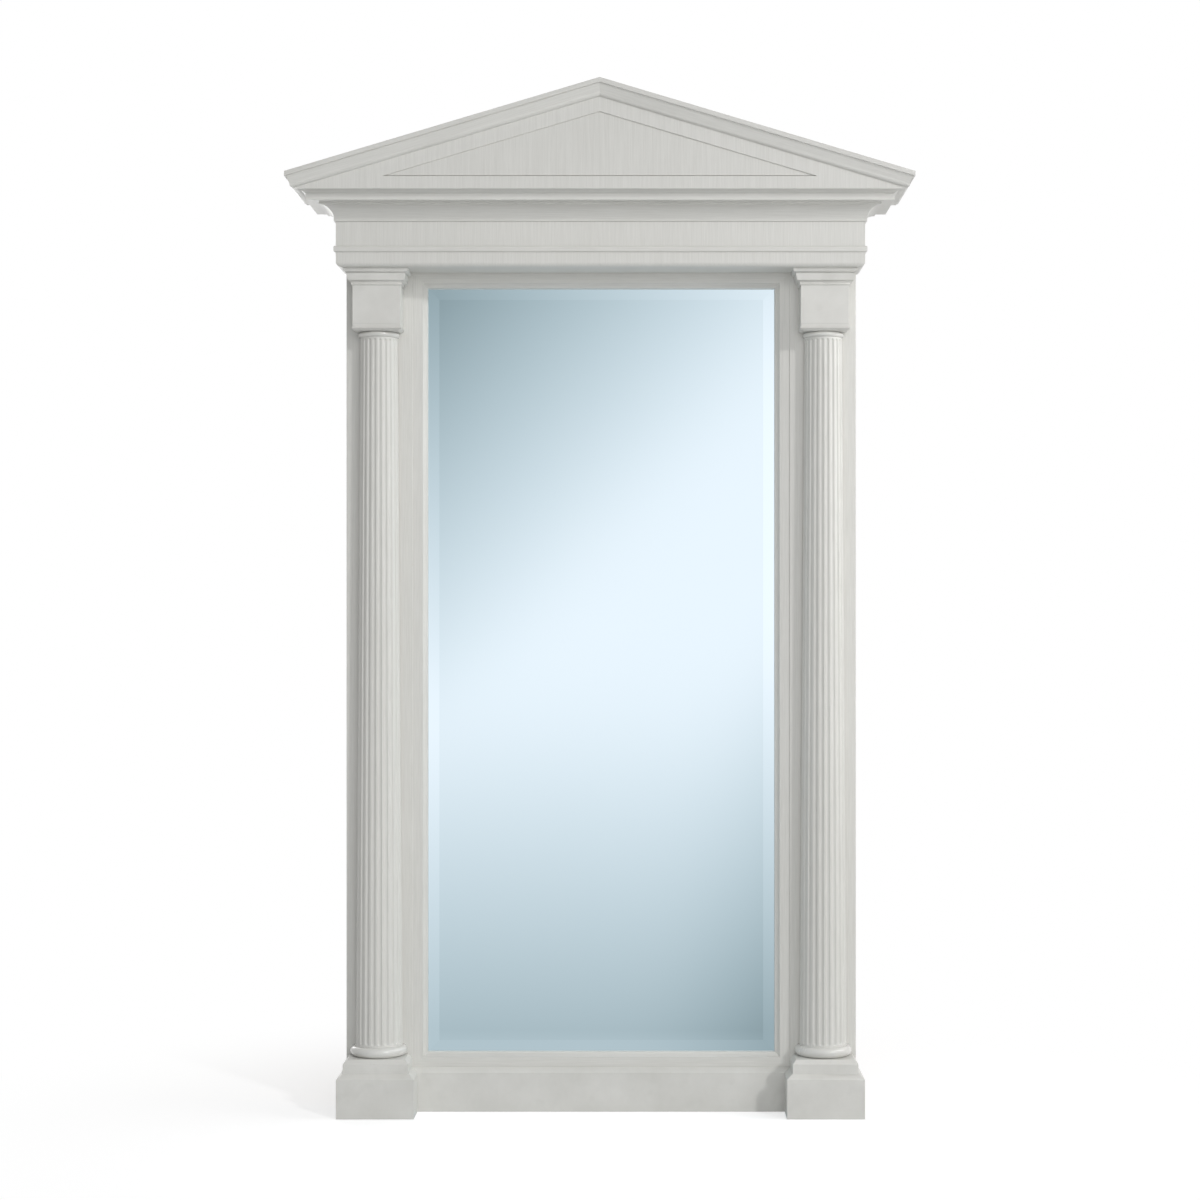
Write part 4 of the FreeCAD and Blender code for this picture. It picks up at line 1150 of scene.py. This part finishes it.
# The card that the glass reflects: the part of it that the field of the glass shows from the front, and
# brightness planes as (brightness at a point, across, up, change per metre across, change per metre up),
# of which the lowest counts
CARD_WIDTH = 5.0
CARD_HEIGHT = 4.4
CARD_LIFT = 0.001
CARD_FIELD_ACROSS = (-0.42, 0.40)
CARD_FIELD_UP = (0.055, 1.92)
CARD_FULL = 0.93
CARD_PLANES = ((1.0, 0.0, 1.1, 0.56, -0.54), (0.51, 0.0, 0.06, 0.0, 0.52), (0.375, 0.37, 0.06, -0.6, 0.62))
CARD_BLEND = 0.15
CARD_SURROUND = 0.06
CARD_SURROUND_WIDTH = 0.07
CARD_DULL = (0.38, (0.84, 1.05, 1.14, 1.0))
CARD_BRIGHT = (0.95, (0.99, 1.05, 1.12, 1.0))


def make_card(studio):
    """Pale blue card in front of the mirror that only reflections show: a soft bright band from corner
    to corner, and a paler surround for the bevels, of which the lowest looks down on the card's foot."""
    material, graph = empty_material("card")
    across, _, up = graph.split(graph.place())
    x = graph.math("MINIMUM", graph.math("MAXIMUM", across, CARD_FIELD_ACROSS[0]), CARD_FIELD_ACROSS[1])
    z = graph.math("MINIMUM", graph.math("MAXIMUM", up, CARD_FIELD_UP[0]), CARD_FIELD_UP[1])
    light = CARD_FULL
    for brightness, plane_x, plane_z, change_across, change_up in CARD_PLANES:
        plane = (x - plane_x) * change_across + (z - plane_z) * change_up + brightness
        light = graph.math("SMOOTH_MIN", light, plane, CARD_BLEND)
    beyond = graph.math("MAXIMUM", graph.math("ABSOLUTE", across - x), graph.math("ABSOLUTE", up - z))
    light = light + graph.remap(beyond, 0.0, CARD_SURROUND_WIDTH, 0.0, CARD_SURROUND)
    tint = graph.mix(graph.remap(light, CARD_DULL[0], CARD_BRIGHT[0]), CARD_DULL[1], CARD_BRIGHT[1])
    glow = graph.node("ShaderNodeEmission", {"Color": tint, "Strength": light})
    graph.node("ShaderNodeOutputMaterial", {"Surface": glow.outputs[0]})
    plane = BACK_PLANE - studio.card_gap
    foot = CAD_BOX[0].z + CARD_LIFT
    line = [(plane, CARD_HEIGHT), (plane, foot), (BACK_PLANE, foot)]
    card = stage_piece("card", CARD_WIDTH / 2, line, material)
    for rays in ("camera", "diffuse", "transmission", "volume_scatter", "shadow"):
        setattr(card, f"visible_{rays}", False)


class FLOORMIRROR_OT_studio(bpy.types.Operator):
    """Set the camera, the floor, the light and the card that the glass reflects"""

    bl_idname = "floor_mirror.studio"
    bl_label = "Studio"

    def execute(self, context):
        studio = context.scene.mirror_studio
        make_camera(studio)
        make_lamps(studio)
        make_world(studio)
        make_floor()
        make_card(studio)
        context.scene.view_settings.view_transform = "Standard"
        return {"FINISHED"}


class FLOORMIRROR_PT_sidebar(bpy.types.Panel):
    """Sizes, colours and steps of the floor mirror's finish"""

    bl_idname = "FLOORMIRROR_PT_sidebar"
    bl_label = "Floor Mirror"
    bl_space_type = "VIEW_3D"
    bl_region_type = "UI"
    bl_category = "Floor Mirror"

    def draw(self, context):
        for group in SETTINGS:
            settings = getattr(context.scene, group)
            box = self.layout.box()
            for name in settings.__annotations__:
                box.prop(settings, name)
        for operator in OPERATORS:
            self.layout.operator(operator.bl_idname)


OPERATORS = (FLOORMIRROR_OT_boards, FLOORMIRROR_OT_mouldings, FLOORMIRROR_OT_columns, FLOORMIRROR_OT_glass,
             FLOORMIRROR_OT_back, FLOORMIRROR_OT_anchors, FLOORMIRROR_OT_glides, FLOORMIRROR_OT_joinery,
             FLOORMIRROR_OT_studio)
SETTINGS = {"mirror_sizes": MirrorSizes, "mirror_colours": MirrorColours, "mirror_studio": MirrorStudio}
CLASSES = (*SETTINGS.values(), *OPERATORS, FLOORMIRROR_PT_sidebar)


def register():
    for cls in CLASSES:
        bpy.utils.register_class(cls)
    for name, group in SETTINGS.items():
        setattr(bpy.types.Scene, name, PointerProperty(type=group))


def unregister():
    for name in SETTINGS:
        delattr(bpy.types.Scene, name)
    for cls in reversed(CLASSES):
        bpy.utils.unregister_class(cls)


def main():
    register()
    bpy.ops.floor_mirror.boards()
    bpy.ops.floor_mirror.mouldings()
    bpy.ops.floor_mirror.columns()
    bpy.ops.floor_mirror.glass()
    bpy.ops.floor_mirror.back()
    bpy.ops.floor_mirror.anchors()
    bpy.ops.floor_mirror.glides()
    bpy.ops.floor_mirror.joinery()
    bpy.ops.floor_mirror.studio()


if __name__ == "__main__":
    main()
